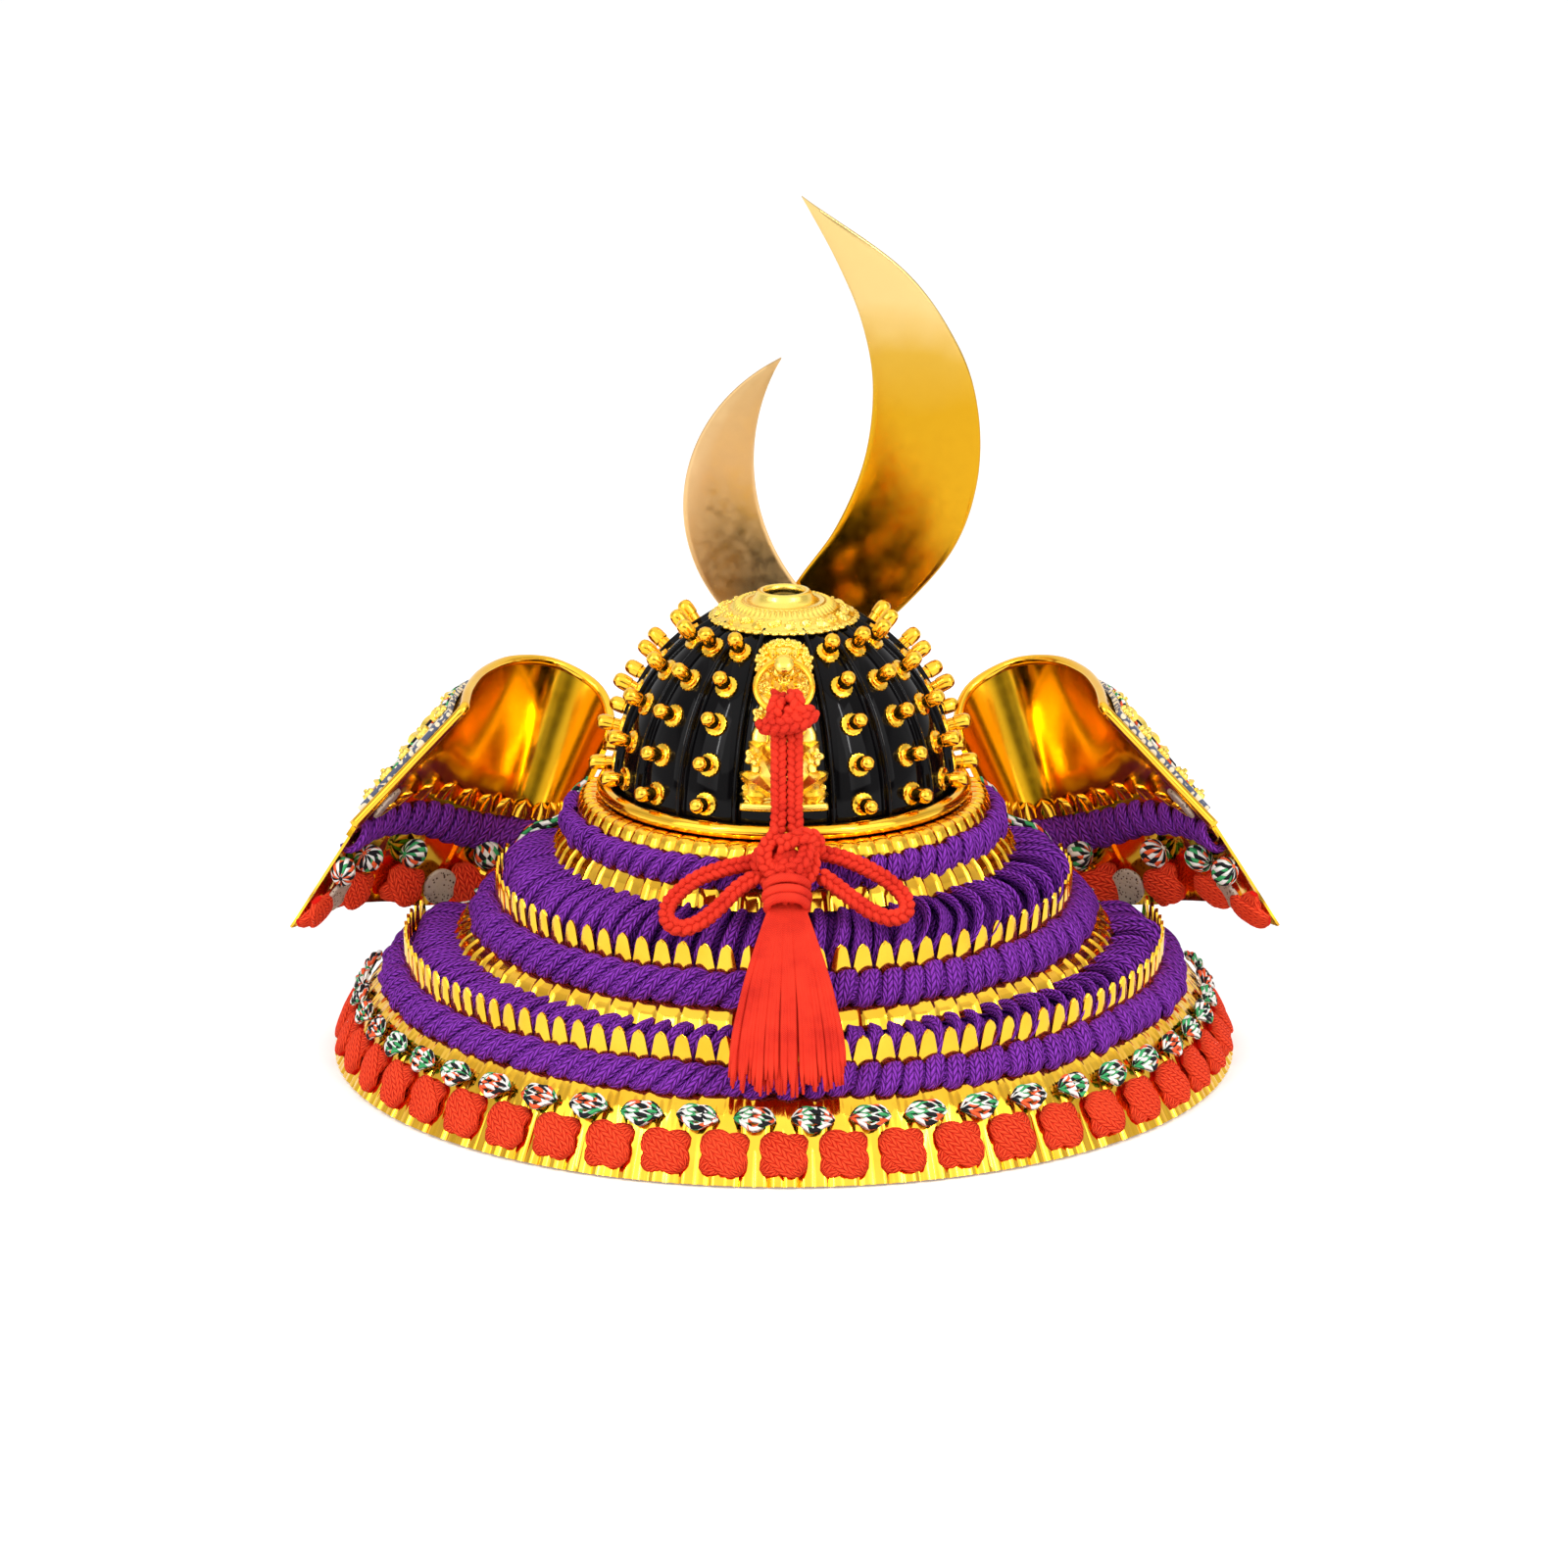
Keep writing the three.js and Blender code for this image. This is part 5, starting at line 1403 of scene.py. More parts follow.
@dataclass
class Rope:
    """Row of slanting strands laced over a hoop."""

    name: str
    node: str
    radius: float
    height: float
    thick: float
    tall: float
    slope: float
    count: int
    slants: tuple = (1.05, 0.5)

    def build(self) -> None:
        """Makes a long-slanted strand for the left half and a steeper one for the right."""
        half = self.count // 2
        places, poses = round_axis(self.count)
        parts = [COPIES.place(self.name + ending, self._strand(slant, width), PURPLE, places[part], poses[part],
                              turn_wobble=0.004, size_wobble=wobble, seed=seed)
                 for ending, slant, width, part, wobble, seed in (
                     ("", self.slants[0], 0.345, slice(half), 0.006, 21),
                     ("_right", self.slants[1], 0.44, slice(half, None), 0.008, 22))]
        finished(joined(self.name, [*parts, self._core()]), PURPLE, self.node)

    def _core(self) -> bpy.types.Object:
        """Thin roll that closes the gaps between the strands."""
        angle = np.linspace(-LAME_END + 0.8, LAME_END - 0.8, 160)
        slope = math.radians(self.slope)
        core = Body()
        core.sweep(turned(angle, self.radius, self.height), turned(angle, math.sin(slope), math.cos(slope)),
                   self.tall - 0.75, self.thick - 0.35, ellipse(14))
        return core.mesh(self.name + "_core", PURPLE)

    def _strand(self, slant: float, width: float) -> bpy.types.Object:
        """One strand over the roll.

        Args:
            slant: how far it leans, in pitches to each side.
            width: half its width, in pitches.

        Returns:
            The strand, facing the back.
        """
        steps = 21
        turns = np.radians(np.linspace(128, -128, steps))
        slope = math.radians(self.slope)
        out = (self.thick - 0.4) * np.cos(turns)
        up = (self.tall - 0.45) * np.sin(turns)
        radius = self.radius + out * math.sin(slope) - up * math.cos(slope)
        height = self.height + out * math.cos(slope) + up * math.sin(slope)
        pitch = 2 * LAME_END / self.count
        shift = np.linspace(1, -1, steps) * pitch * slant
        path = turned(shift, radius, height)
        outs = turned(shift, np.cos(turns) * math.sin(slope) - np.sin(turns) * math.cos(slope),
                      np.cos(turns) * math.cos(slope) + np.sin(turns) * math.sin(slope))
        step = math.radians(pitch) * self.radius
        share = np.linspace(0, 1, steps)
        swell = np.sin((0.1 + 0.82 * share) * math.pi) ** 0.6
        body = Body()
        body.sweep(path, outs, width * step * (0.45 + 0.55 * swell), 0.35 + 1.05 * swell, ellipse(16))
        return body.mesh("strand", PURPLE, on_axis=False)


@dataclass
class HangingLaces:
    """Two runs of knitted laces between two hoops, the outer one tight on the left and slack on the right."""

    name: str
    node: str
    top: tuple
    crown: tuple
    foot: tuple
    count: int
    seed: int

    def build(self) -> None:
        """Makes every lace."""
        rng = np.random.default_rng(self.seed)
        pitch = 2 * LAME_END / self.count
        room = math.radians(pitch) * self.foot[0]
        steps = 20
        share = np.linspace(0, 1, steps)
        body = Body()
        for number in range(self.count):
            angle = -LAME_END + pitch * (number + 0.5)
            slack = self._slack(angle) * (1 + rng.normal(0, 0.16))
            bulge = 0.8 + 1.5 * slack + rng.normal(0, 0.5)
            middle = (self.foot[0] + 0.3, (self.crown[1] + self.foot[1]) / 2)
            line = catmull([self.top, self.crown, middle, self.foot], share)
            hump = np.sin(share**0.7 * math.pi) * bulge
            radius, height = line[:, 0] + hump * 0.8, line[:, 1] + hump * 0.5
            lean = (0.16 + 0.62 * slack + rng.normal(0, 0.13)) * pitch
            turn = angle + np.linspace(1, -1, steps) * lean
            path = turned(turn, radius, height)
            run = unit(np.gradient(np.column_stack([radius, height]), axis=0))
            outs = turned(turn, -run[:, 1], run[:, 0])
            twist = (15 + 38 * slack + rng.normal(0, 14)) * np.sin(share**0.6 * math.pi) ** 0.9
            width = room * (0.27 + 0.40 * slack) * (1 + rng.normal(0, 0.11))
            narrow = 0.66 + 0.34 * np.sin(np.clip(share * 1.3, 0, 1) * math.pi / 2)
            section = ellipse(16, 2.2)
            section[:, 1] += 1.3 * slack * (section[:, 0] ** 2 - 0.5)
            body.sweep(path, outs, width * narrow, 1.9 - 1.25 * slack, section, twist)
            sink = np.sin(share * math.pi) ** 0.4
            beside = np.clip(turn - pitch * 0.5, 1 - LAME_END, LAME_END - 1)
            under = turned(beside, radius - hump * 0.8 - 2.5 * sink, height - hump * 0.5 - 1.5 * sink)
            body.sweep(under, outs, max(width * 1.35, room * 0.68), 0.5, ellipse(8, 2.8))
        body.piece(self.name, PURPLE, self.node)

    @staticmethod
    def _slack(angle: float) -> float:
        """How loose the lace at an angle is, from 0 to 1."""
        right = float(np.clip((angle + 4) / 40, 0.0, 1.0) * np.clip((104 - angle) / 14, 0.4, 1.0))
        return max(right, 0.2 + 0.12 * math.sin(angle * 0.31))


@dataclass
class SewnWork:
    """Red cross-stitch patches and mixed-colour knots on the lowest hoop."""

    pitch: float = 7.5
    per_side: int = 13
    radius: float = 94.3
    height: float = 6.2
    knot_radius: float = 91.6
    knot_height: float = 13.0

    def build(self) -> None:
        """Makes the patches and the knots."""
        first = self.per_side * self.pitch
        self._set("cross_stitch", self.patch(), RED_KNIT, np.arange(-first, first + 0.1, self.pitch),
                  self.radius + 0.1, self.height, (6.7, -12.6), 0.05)
        self._set("braid_knots", self.knot(), MIXED, np.arange(-first - self.pitch / 2, first + self.pitch, self.pitch),
                  self.knot_radius, self.knot_height, (4.6, -5.4), 0.08)

    @staticmethod
    def _set(name: str, piece: bpy.types.Object, finish: Finish, angles: Points, radius: float, height: float,
             slope: tuple, wobble: float) -> None:
        """Sets copies round the skirt, facing out of it."""
        count = len(angles)
        along = turned(angles + 90, np.ones(count), np.zeros(count))
        up = unit(turned(angles, -slope[0] * np.ones(count), -slope[1] * np.ones(count)))
        out = np.cross(along, up)
        where = in_frame(turned(angles, radius, height * np.ones(count)))
        finished(COPIES.place(name, piece, finish, where, pose_of(along, up, out), turn_wobble=wobble,
                              size_wobble=0.035, seed=17), finish)

    @staticmethod
    def patch() -> bpy.types.Object:
        """Two crossing bands of lace, the upper one from top left to bottom right."""
        body = Body()
        share = np.linspace(0, 1, 13)
        for lean, lift, wide, reach in ((41.0, 0.3, 3.0, 5.7), (-41.0, 0.8, 3.75, 5.5)):
            cos, sin = math.cos(math.radians(lean)), math.sin(math.radians(lean))
            along = (share * 2 - 1) * reach
            arch = lift + 0.85 * np.sqrt(np.clip(1 - np.abs(share * 2 - 1) ** 2.5, 0, 1))
            path = np.stack([along * cos, along * sin, arch], axis=1)
            swell = np.sqrt(np.clip(1 - np.abs(share * 2 - 1) ** 3.4, 0.12, 1))
            body.sweep(path, UP, wide * swell, 0.95 * (0.5 + 0.5 * swell), ellipse(16, 2.6))
        return body.mesh("patch", RED_KNIT, on_axis=False)

    @staticmethod
    def ball(radius: float = 3.3) -> bpy.types.Object:
        """Round plaited button."""
        body = Body()
        turn = np.linspace(0.05, 0.95, 15) * math.pi
        path = np.stack([-np.cos(turn) * radius, 0 * turn, 0 * turn], axis=1)
        swell = np.sin(turn) * radius
        body.sweep(path, UP, swell, swell * 0.85, ellipse(24))
        return body.mesh("ball", MIXED, on_axis=False)

    @staticmethod
    def knot() -> bpy.types.Object:
        """Lens of plaited cords that spread from one point and meet at the other."""
        body = Body()
        share = np.linspace(0, 1, 13)
        spread = np.sin(share * math.pi) ** 0.8
        for number, place in enumerate((-1.0, -0.5, 0.0, 0.5, 1.0)):
            weave = 0.35 * np.sin(share * math.tau * 1.5 + number * math.pi)
            path = np.stack([(share * 2 - 1) * 4.3, (place * 2.1 + weave) * spread,
                             0.5 + (1.15 - 0.5 * place * place + 0.8 * weave) * spread], axis=1)
            body.sweep(path, UP, 0.78 * (0.45 + 0.55 * spread), 0.75 * (0.5 + 0.5 * spread), ellipse(10))
        return body.mesh("knot", MIXED, on_axis=False)


@dataclass
class EdgeCord:
    """Mixed-colour cord down the front end of each hoop."""

    radius: float = 1.2
    line: tuple = (
        (72.2, 25.6), (79.4, 23.4), (82.4, 19.8), (86.4, 16), (90.4, 12.6), (93.6, 7.4), (96, 2.2),
    )
    upper: tuple = (
        (44.6, 56.4), (47.8, 53.4), (50.6, 47.6), (58.2, 44), (61.4, 39.6), (63.6, 35.6), (67.6, 30.6), (70.8, 28.4),
    )

    def build(self) -> None:
        """Makes the cord on both sides."""
        for side, sign in SIDES.items():
            parts = []
            for number, run in enumerate((self.line, self.upper)):
                table = catmull(run, np.linspace(0, 1, 60))
                beyond = LAME_END + np.degrees(1.6 / table[:, 0])
                body = Body()
                path = turned(sign * beyond, table[:, 0], table[:, 1])
                body.sweep(path, turned(sign * beyond, 0.0 * beyond, 1.0), self.radius, self.radius, ellipse(10))
                parts.append(body.mesh(f"edge_{side}_{number}", MIXED))
            finished(joined(f"edge_braid_{side}", parts), MIXED, f"edge_cord_{side}")


# ---------- wings ----------
@dataclass
class Wing:
    """Turned-back wing: polished sheet, edge roll, laced lower band, studs and printed outer face."""

    side: str
    flower: tuple = (0.76, 0.5)  # where the rosette's middle is
    reach: tuple = (78.0, 27.0)  # length of the wing and height of its upper sheet there
    stations: tuple = (
        # points on the top edge, the middle line and the bottom edge, from the root outwards
        ((42.4, 13, 56.6), (48.9, 14.8, 46.6), (65.4, 20.2, 30.2)),
        ((38.6, 29, 63.4), (48.5, 26.5, 42.6), (62.6, 25.6, 27)),
        ((41.4, 38.8, 69.6), (52.2, 34.4, 40.8), (65, 29.2, 24.6)),
        ((50.6, 41.4, 74.6), (60.2, 36.2, 41.6), (71.6, 29.8, 23.8)),
        ((59.4, 35.6, 77), (69.2, 31.2, 45), (80, 26.8, 24.2)),
        ((65.6, 24.4, 77.6), (77.4, 21.4, 50.6), (90.6, 18.6, 27.8)),
        ((68.8, 10.4, 77.4), (86.2, 9.2, 52.8), (100.2, 9.4, 28.8)),
        ((69.6, -1.4, 76.4), (92.8, -1.6, 51), (107.6, -0.4, 27.4)),
    )

    @property
    def sign(self) -> int:
        """Which way x points on this side."""
        return SIDES[self.side]

    def at(self, s: object, v: object) -> Points:
        """Points of the wing: s from its root to its free edge, v from its top edge downwards."""
        s, v = np.broadcast_arrays(np.asarray(s, float), np.asarray(v, float))
        top, mid, end = (catmull([station[row] for station in self.stations], s) for row in range(3))
        upper = v[..., None] <= 1
        share = np.where(upper, v[..., None], v[..., None] - 1)
        point = np.where(upper, top + (mid - top) * share, mid + (end - mid) * share)
        return point * np.array([self.sign, 1, 1])

    def face(self, s: object, v: object) -> Points:
        """Directions out of the wing's inner, polished face."""
        s, v = np.broadcast_arrays(np.asarray(s, float), np.asarray(v, float))
        along = self.at(np.minimum(s + 0.02, 1), v) - self.at(np.maximum(s - 0.02, 0), v)
        base = np.where(v <= 1, 0.0, 1.0)
        down = self.at(s, base + 0.98) - self.at(s, base + 0.02)
        return unit(np.cross(along, down)) * -self.sign

    def build(self) -> None:
        """Makes every piece of the wing."""
        self._panel()
        self._trim()
        self._rope()
        self._band()
        self._sewn()
        self._studs()
        self._outer()

    def _panel(self) -> None:
        """Polished upper sheet."""
        s, v = np.linspace(0, 1, 61)[:, None], np.linspace(0, 1.12, 23)[None, :]
        middle, out = self.at(s, v), self.face(s, v)
        body = Body()
        body.slab(middle + out * 0.6, middle - out * 0.6)
        # the wing sheets take the shaded copy of the gilt, painted shade over their reflections
        body.piece(f"wing_sheet_{self.side}", SHADED_WING_GILT, f"wing_panel_{self.side}", sharp=50)

    def _trim(self) -> None:
        """Edge roll along the top and down the free edge."""
        lift = 0.85
        s = np.linspace(0.1, 1, 40)
        top = self.at(s, 0.0) + unit(self.at(s, 0.0) - self.at(s, 0.2)) * lift
        v = np.linspace(0.12, 1.0, 18)
        ones = np.ones_like(v)
        free = self.at(ones, v) + unit(self.at(ones, v) - self.at(ones * 0.97, v)) * lift
        corner = top[-1] + unit(self.at(1.0, 0.0) - self.at(0.97, 0.0)) * lift * 0.9
        path = resampled(np.vstack([top[:-1], corner[None], free]), 90)
        body = Body()
        out = self.face(np.concatenate([s, ones]), np.concatenate([0 * s, v]))
        outs = resampled(out, 90)
        body.sweep(path, outs, 1.15, 1.15, ellipse(12))
        body.piece(f"wing_roll_{self.side}", GILT, f"wing_trim_{self.side}")

    def _rope(self) -> None:
        """Upright strands of lacing along the middle line."""
        body = Body()
        count = 19
        turns = np.radians(np.linspace(125, -125, 13))
        for number in range(count):
            s = 0.04 + 0.93 * (number + 0.5) / count
            up, out = unit(self.at(s, 1.0) - self.at(s, 1.3)), self.face(s, 1.14)
            along = np.cross(up, out)
            centre = self.at(s, 1.19)
            lean = np.linspace(1, -1, 13)[:, None] * 0.55
            path = (centre + np.outer(np.cos(turns) * 2.0, out) + np.outer(np.sin(turns) * 3.7, up)
                    + along * lean)
            outs = unit(np.outer(np.cos(turns), out) + np.outer(np.sin(turns), up))
            swell = np.sin(np.linspace(0.06, 0.94, 13) * math.pi) ** 0.5
            body.sweep(path, outs, 2.15 * (0.5 + 0.5 * swell), 0.5 + 0.45 * swell, ellipse(12, 2.4))
        body.piece(f"wing_lacing_{self.side}", PURPLE, f"wing_rope_{self.side}")

    def _band(self) -> None:
        """Creased lower sheet, and the rounded tips that stand behind the lacing."""
        s, v = np.linspace(0, 1, 121)[None, :], np.linspace(1.04, 2, 14)[:, None]
        grid, out = self.at(s, v), self.face(s, v)
        rows = np.linspace(0, 1, 14)
        flute = 0.9 * rows**2
        sheet = FLUTES.fold(f"wing_lower_{self.side}", grid - out * 0.3, s, out, flute, 0.3 + 0 * rows,
                            1 / 9, 0.1, 0.6)
        body = Body()
        for number in range(12):
            place = 0.06 + 0.9 * (number + 0.5) / 12
            centre, normal = self.at(place, 0.99), self.face(place, 0.9)
            up = unit(self.at(place, 0.6) - self.at(place, 1.0))
            along = np.cross(up, normal)
            rise, width = np.linspace(0, 1, 8)[:, None], np.linspace(-1, 1, 7)[None, :]
            half = 2.2 * np.sqrt(np.clip(1 - rise**2.6, 0.02, 1))
            curl = 1.5 + 1.1 * rise + 0.7 * (1 - width**2)
            front = (centre + along * (width * half)[..., None] + up * (rise * 4.2)[..., None]
                     + normal * (curl + 0 * width)[..., None])
            body.slab(front, front - normal * 0.4)
        tips = crisp(body.mesh(f"wing_tips_{self.side}", GILT), 50)
        finished(joined(f"wing_lower_{self.side}", [sheet, tips]), GILT, f"wing_band_{self.side}")

    def _facing(self, s: object, v: object) -> tuple[Points, Points]:
        """Directions out of the inner face and up it."""
        return self.face(s, v), unit(self.at(s, v - 0.05) - self.at(s, v + 0.05))

    def _frames(self, s: Points, v: Points, lift: float) -> tuple[Points, Points]:
        """Places and turns on the inner face: x along it, y up it and z out of it."""
        out, up = self._facing(s, v)
        along = unit(np.cross(up, out))
        return in_frame(self.at(s, v) + out * lift), pose_of(along, np.cross(out, along), out)

    def _sewn(self) -> None:
        """Knots and red patches on the lower sheet."""
        at, poses = self._frames(np.array([0.16, 0.44, 0.70, 0.85, 0.965]), np.array([1.42, 1.44, 1.5, 1.48, 1.45]),
                                 2.5)
        knots = COPIES.place(f"wing_knots_{self.side}", SewnWork.ball(), MIXED, at, poses,
                             turn_wobble=0.5, size_wobble=0.1, seed=4)
        finished(knots, MIXED)
        at, poses = self._frames(np.array([0.24, 0.45, 0.68, 0.84, 0.985]), np.array([1.74, 1.8, 1.8, 1.78, 1.78]), 1.6)
        patches = COPIES.place(f"wing_patches_{self.side}", SewnWork.patch(), RED_KNIT, at, poses,
                               sizes=(1.05, 0.95, 1.25), turn_wobble=0.08, seed=5)
        finished(patches, RED_KNIT)

    def _studs(self) -> None:
        """Flat speckled studs."""
        turn = full_turn(36)
        for number, (s, v) in enumerate(((0.575, 1.76), (0.955, 0.84), (0.925, 1.72)), start=1):
            out, up = self._facing(s, v)
            along = np.cross(up, out)
            centre = self.at(s, v) + out * (1.2 if v < 1 else 3.0)
            circle = ring_in(turn, along, up)
            rings = [centre + radius * circle + out * rise
                     for radius, rise in ((3.6, 0.0), (4.1, 0.05), (4.15, 0.5), (4.0, 0.8), (3.7, 0.9), (1.5, 1.0))]
            Body().tube(rings).piece(f"wing_stud_{number}_{self.side}", STUD, f"wing_disc_{number}_{self.side}")

    def _outer(self) -> None:
        """Printed hide on the outer face, its mixed-colour border and the gilt rosette on it."""
        s, v = np.linspace(0.3, 1, 41)[:, None], np.linspace(0.06, 0.92, 17)[None, :]
        middle, out = self.at(s, v), self.face(s, v)
        body = Body()
        body.slab(middle - out * 1.1, middle - out * 2.2)
        body.piece(f"wing_hide_{self.side}", LEATHER, f"wing_leather_{self.side}", sharp=50)
        run = np.linspace(0, 1, 30)
        border = [(0.34 + 0.6 * t, 0.12) for t in run] + [(0.94, 0.12 + 0.74 * t) for t in run[1:]]
        border += [(0.94 - 0.6 * t, 0.86) for t in run[1:]]
        places = np.array(border)
        out = self.face(places[:, 0], places[:, 1])
        path = self.at(places[:, 0], places[:, 1]) - out * 2.5
        Body().sweep(path, -out, 0.95, 0.75, ellipse(8)).piece(f"wing_border_{self.side}", MIXED)
        self._rosette()

    def _rosette(self) -> None:
        """Many-petalled flower in relief, with leaves round it."""
        inwards, up = self._facing(*self.flower)
        out = -inwards
        along = np.cross(up, out)
        centre = self.at(*self.flower) + out * 3.0
        turn = full_turn(128)
        petal = np.abs(np.cos(turn * 8))
        rings = []
        for radius, rise, wave in ((7.0, -0.4, 0.8), (7.4, 0.0, 0.8), (7.0, 0.6, 0.8), (5.4, 1.3, 0.6), (3.6, 0.9, 0.3),
                                   (3.0, 1.3, 0.0), (2.4, 2.0, 0.0), (1.2, 2.4, 0.0)):
            reach = radius + wave * (petal - 0.5)
            height = rise + wave * 0.7 * (petal - 0.5)
            rings.append(centre + np.outer(np.cos(turn) * reach, along) + np.outer(np.sin(turn) * reach, up)
                         + height[:, None] * out)
        body = Body()
        body.tube(rings)
        leaves = [(9.0 * math.cos(a), 8.0 * math.sin(a), 5.6, 3.4, math.degrees(a), 1.6)
                  for a in np.radians(np.arange(-75, 76, 30.0))]
        leaves += [(11.5, 9.0, 4.6, 2.6, 20, 1.4), (11.5, -9.0, 4.6, 2.6, -20, 1.4), (4.0, 10.2, 4.6, 2.4, 5, 1.3)]
        blossoms = ((15.6, 5.0, 1.9, 1.5), (15.6, -5.0, 1.9, 1.5), (15.8, 0.0, 1.6, 1.4), (9.0, 10.0, 1.5, 1.4),
                    (15.4, 10, 1.7, 1.4), (15.4, -10, 1.7, 1.4))
        parts = [body.mesh(f"wing_rosette_{self.side}", CAST),
                 *Castings.both_sides(f"wing_cast_{self.side}", self._outside, leaves, blossoms)]
        finished(joined(f"wing_rosette_{self.side}", parts), CAST, f"wing_ornament_{self.side}")

    def _outside(self, across: Points, rise: Points, lift: Points) -> Points:
        """Points off the outer face, by millimetres from the rosette's middle."""
        s = self.flower[0] + self.sign * across / self.reach[0]
        v = self.flower[1] - rise / self.reach[1]
        return self.at(s, v) - self.face(s, v) * (1.4 + lift)[..., None]


# ---------- visor and crest ----------
@dataclass
class Visor:
    """Lacquered visor with a gilt roll along its edge."""

    end: float = 50.0
    inner_radius: float = 41.2
    inner_height: float = 58.8
    reach: float = 19.5
    drop: float = 8.5
    thick: float = 1.4

    def at(self, degrees: Points, across: Points) -> Points:
        """Points of its upper face, by angle from the front and share of its depth."""
        taper = np.cos(np.radians(90 * degrees / (self.end + 4))) ** 1.3
        radius = self.inner_radius + self.reach * taper * across
        return turned(180 - degrees, radius, self.inner_height - self.drop * taper * across**1.4)

    def build(self) -> None:
        """Makes the visor and its roll."""
        degrees = np.linspace(-self.end, self.end, 81)[:, None]
        across = np.linspace(0, 1, 15)[None, :]
        top = self.at(degrees, across)
        Body().slab(top, top - np.array([0, 0, self.thick])).piece("lacquered_visor", LACQUER, "visor", sharp=50)
        edge = self.at(degrees[:, 0], np.ones(81)) + turned(180 - degrees[:, 0], 1.4, -0.7)
        Body().sweep(edge, UP, 1.05, 1.05, ellipse(12)).piece("visor_roll", GILT, "visor_trim")


@dataclass
class Crest:
    """Two crescent blades in a holder over the visor."""

    lean: float = 8.0
    foot: float = 60.0
    y: float = 49.5
    thickness: float = 1.0

    def build(self) -> None:
        """Makes the blades and the holder."""
        outer = ((3, 3), (13, 15.6), (26.5, 27.6), (37.6, 41.8), (42.6, 58), (42.4, 75), (37.6, 90.2),
                 (26, 107), (3.8, 123.8))
        inner = ((3.8, 123.8), (11.6, 108.4), (17, 94.4), (19.4, 79.6), (17.6, 62.6), (11.4, 46.6),
                 (2.6, 33.4), (-6, 18), (-5, 3))
        self._blade("long_crescent", "crest_long_blade", self._smooth(outer), self._smooth(inner)[::-1],
                    self.y, BLADE_GILT)
        outer = [(-4.0, 3.0), *self._arc(16.7, 51.9, 38.9, 217, 116.4)]
        inner = [(4.0, 3.0), (9.6, 22.0), *self._arc(43.7, 62.8, 50.3, -137, -208.4)]
        self._blade("short_crescent", "crest_short_blade", np.array(outer), np.array(inner),
                    self.y - self.thickness - 0.3, BLADE_SATIN)
        self._holder()

    @staticmethod
    def _smooth(points: Sequence) -> Points:
        """Even curve through the points."""
        return catmull(points, np.linspace(0, 1, 120), 0.0)

    @staticmethod
    def _arc(x: float, y: float, radius: float, start: float, end: float) -> list[tuple[float, float]]:
        """Points of an arc, with angles in degrees."""
        turn = np.radians(np.linspace(start, end, 100))
        return list(zip(x + radius * np.cos(turn), y + radius * np.sin(turn)))

    def _blade(self, name: str, node: str, one: Points, other: Points, y: float, finish: Finish) -> None:
        """Makes a blade between its two edges, slightly rounded at the rim."""
        one, other = resampled(one, 140), resampled(other, 140)
        lean = math.radians(self.lean)
        up = np.array([0.0, -math.sin(lean), math.cos(lean)])
        out = np.array([0.0, math.cos(lean), math.sin(lean)])
        base = np.array([0.0, y, self.foot])
        share = np.array([0.0, 0.02, 0.06, 0.35, 0.65, 0.94, 0.98, 1.0])[None, :, None]
        inset = np.array([0.0, 0.34, 0.5, 0.5, 0.5, 0.5, 0.34, 0.0])
        flat = one[:, None] * (1 - share) + other[:, None] * share
        plane = base + flat[..., :1] * np.array([1.0, 0, 0]) + flat[..., 1:] * up
        lift = inset[None, :, None] * self.thickness
        Body().slab(plane + out * lift, plane - out * (lift + 1e-3)).piece(name, finish, node, sharp=60)

    def _holder(self) -> None:
        """Small box that the blades stand in, with a flower on its front."""
        side = np.array([(46.4, 57.7), (48, 57.2), (51.8, 55.5), (52.2, 58.5), (51.8, 62.5), (46.4, 62.5)])
        body = Body()
        rows = []
        for x, inset in ((-7.0, 0.5), (-6.6, 0.0), (6.6, 0.0), (7.0, 0.5)):
            centre = side.mean(axis=0)
            ring = centre + (side - centre) * (1 - inset * 0.12)
            rows.append(np.column_stack([np.full(len(side), x), ring]))
        body.tube(rows)
        where = in_frame(np.array([[0.0, 51.9, 60.1]]))
        pose = pose_of([(-1.0, 0.0, 0.0)], [(0.0, 0.0, 1.0)], [(0.0, 1.0, 0.0)])
        bloom = COPIES.place("socket_bloom", Castings.blossom(8, 0.4), CAST, where, pose, sizes=(2.4, 2.4, 1.0))
        finished(joined("crest_socket", [crisp(body.mesh("socket", CAST), 30), bloom]), CAST, "crest_holder")


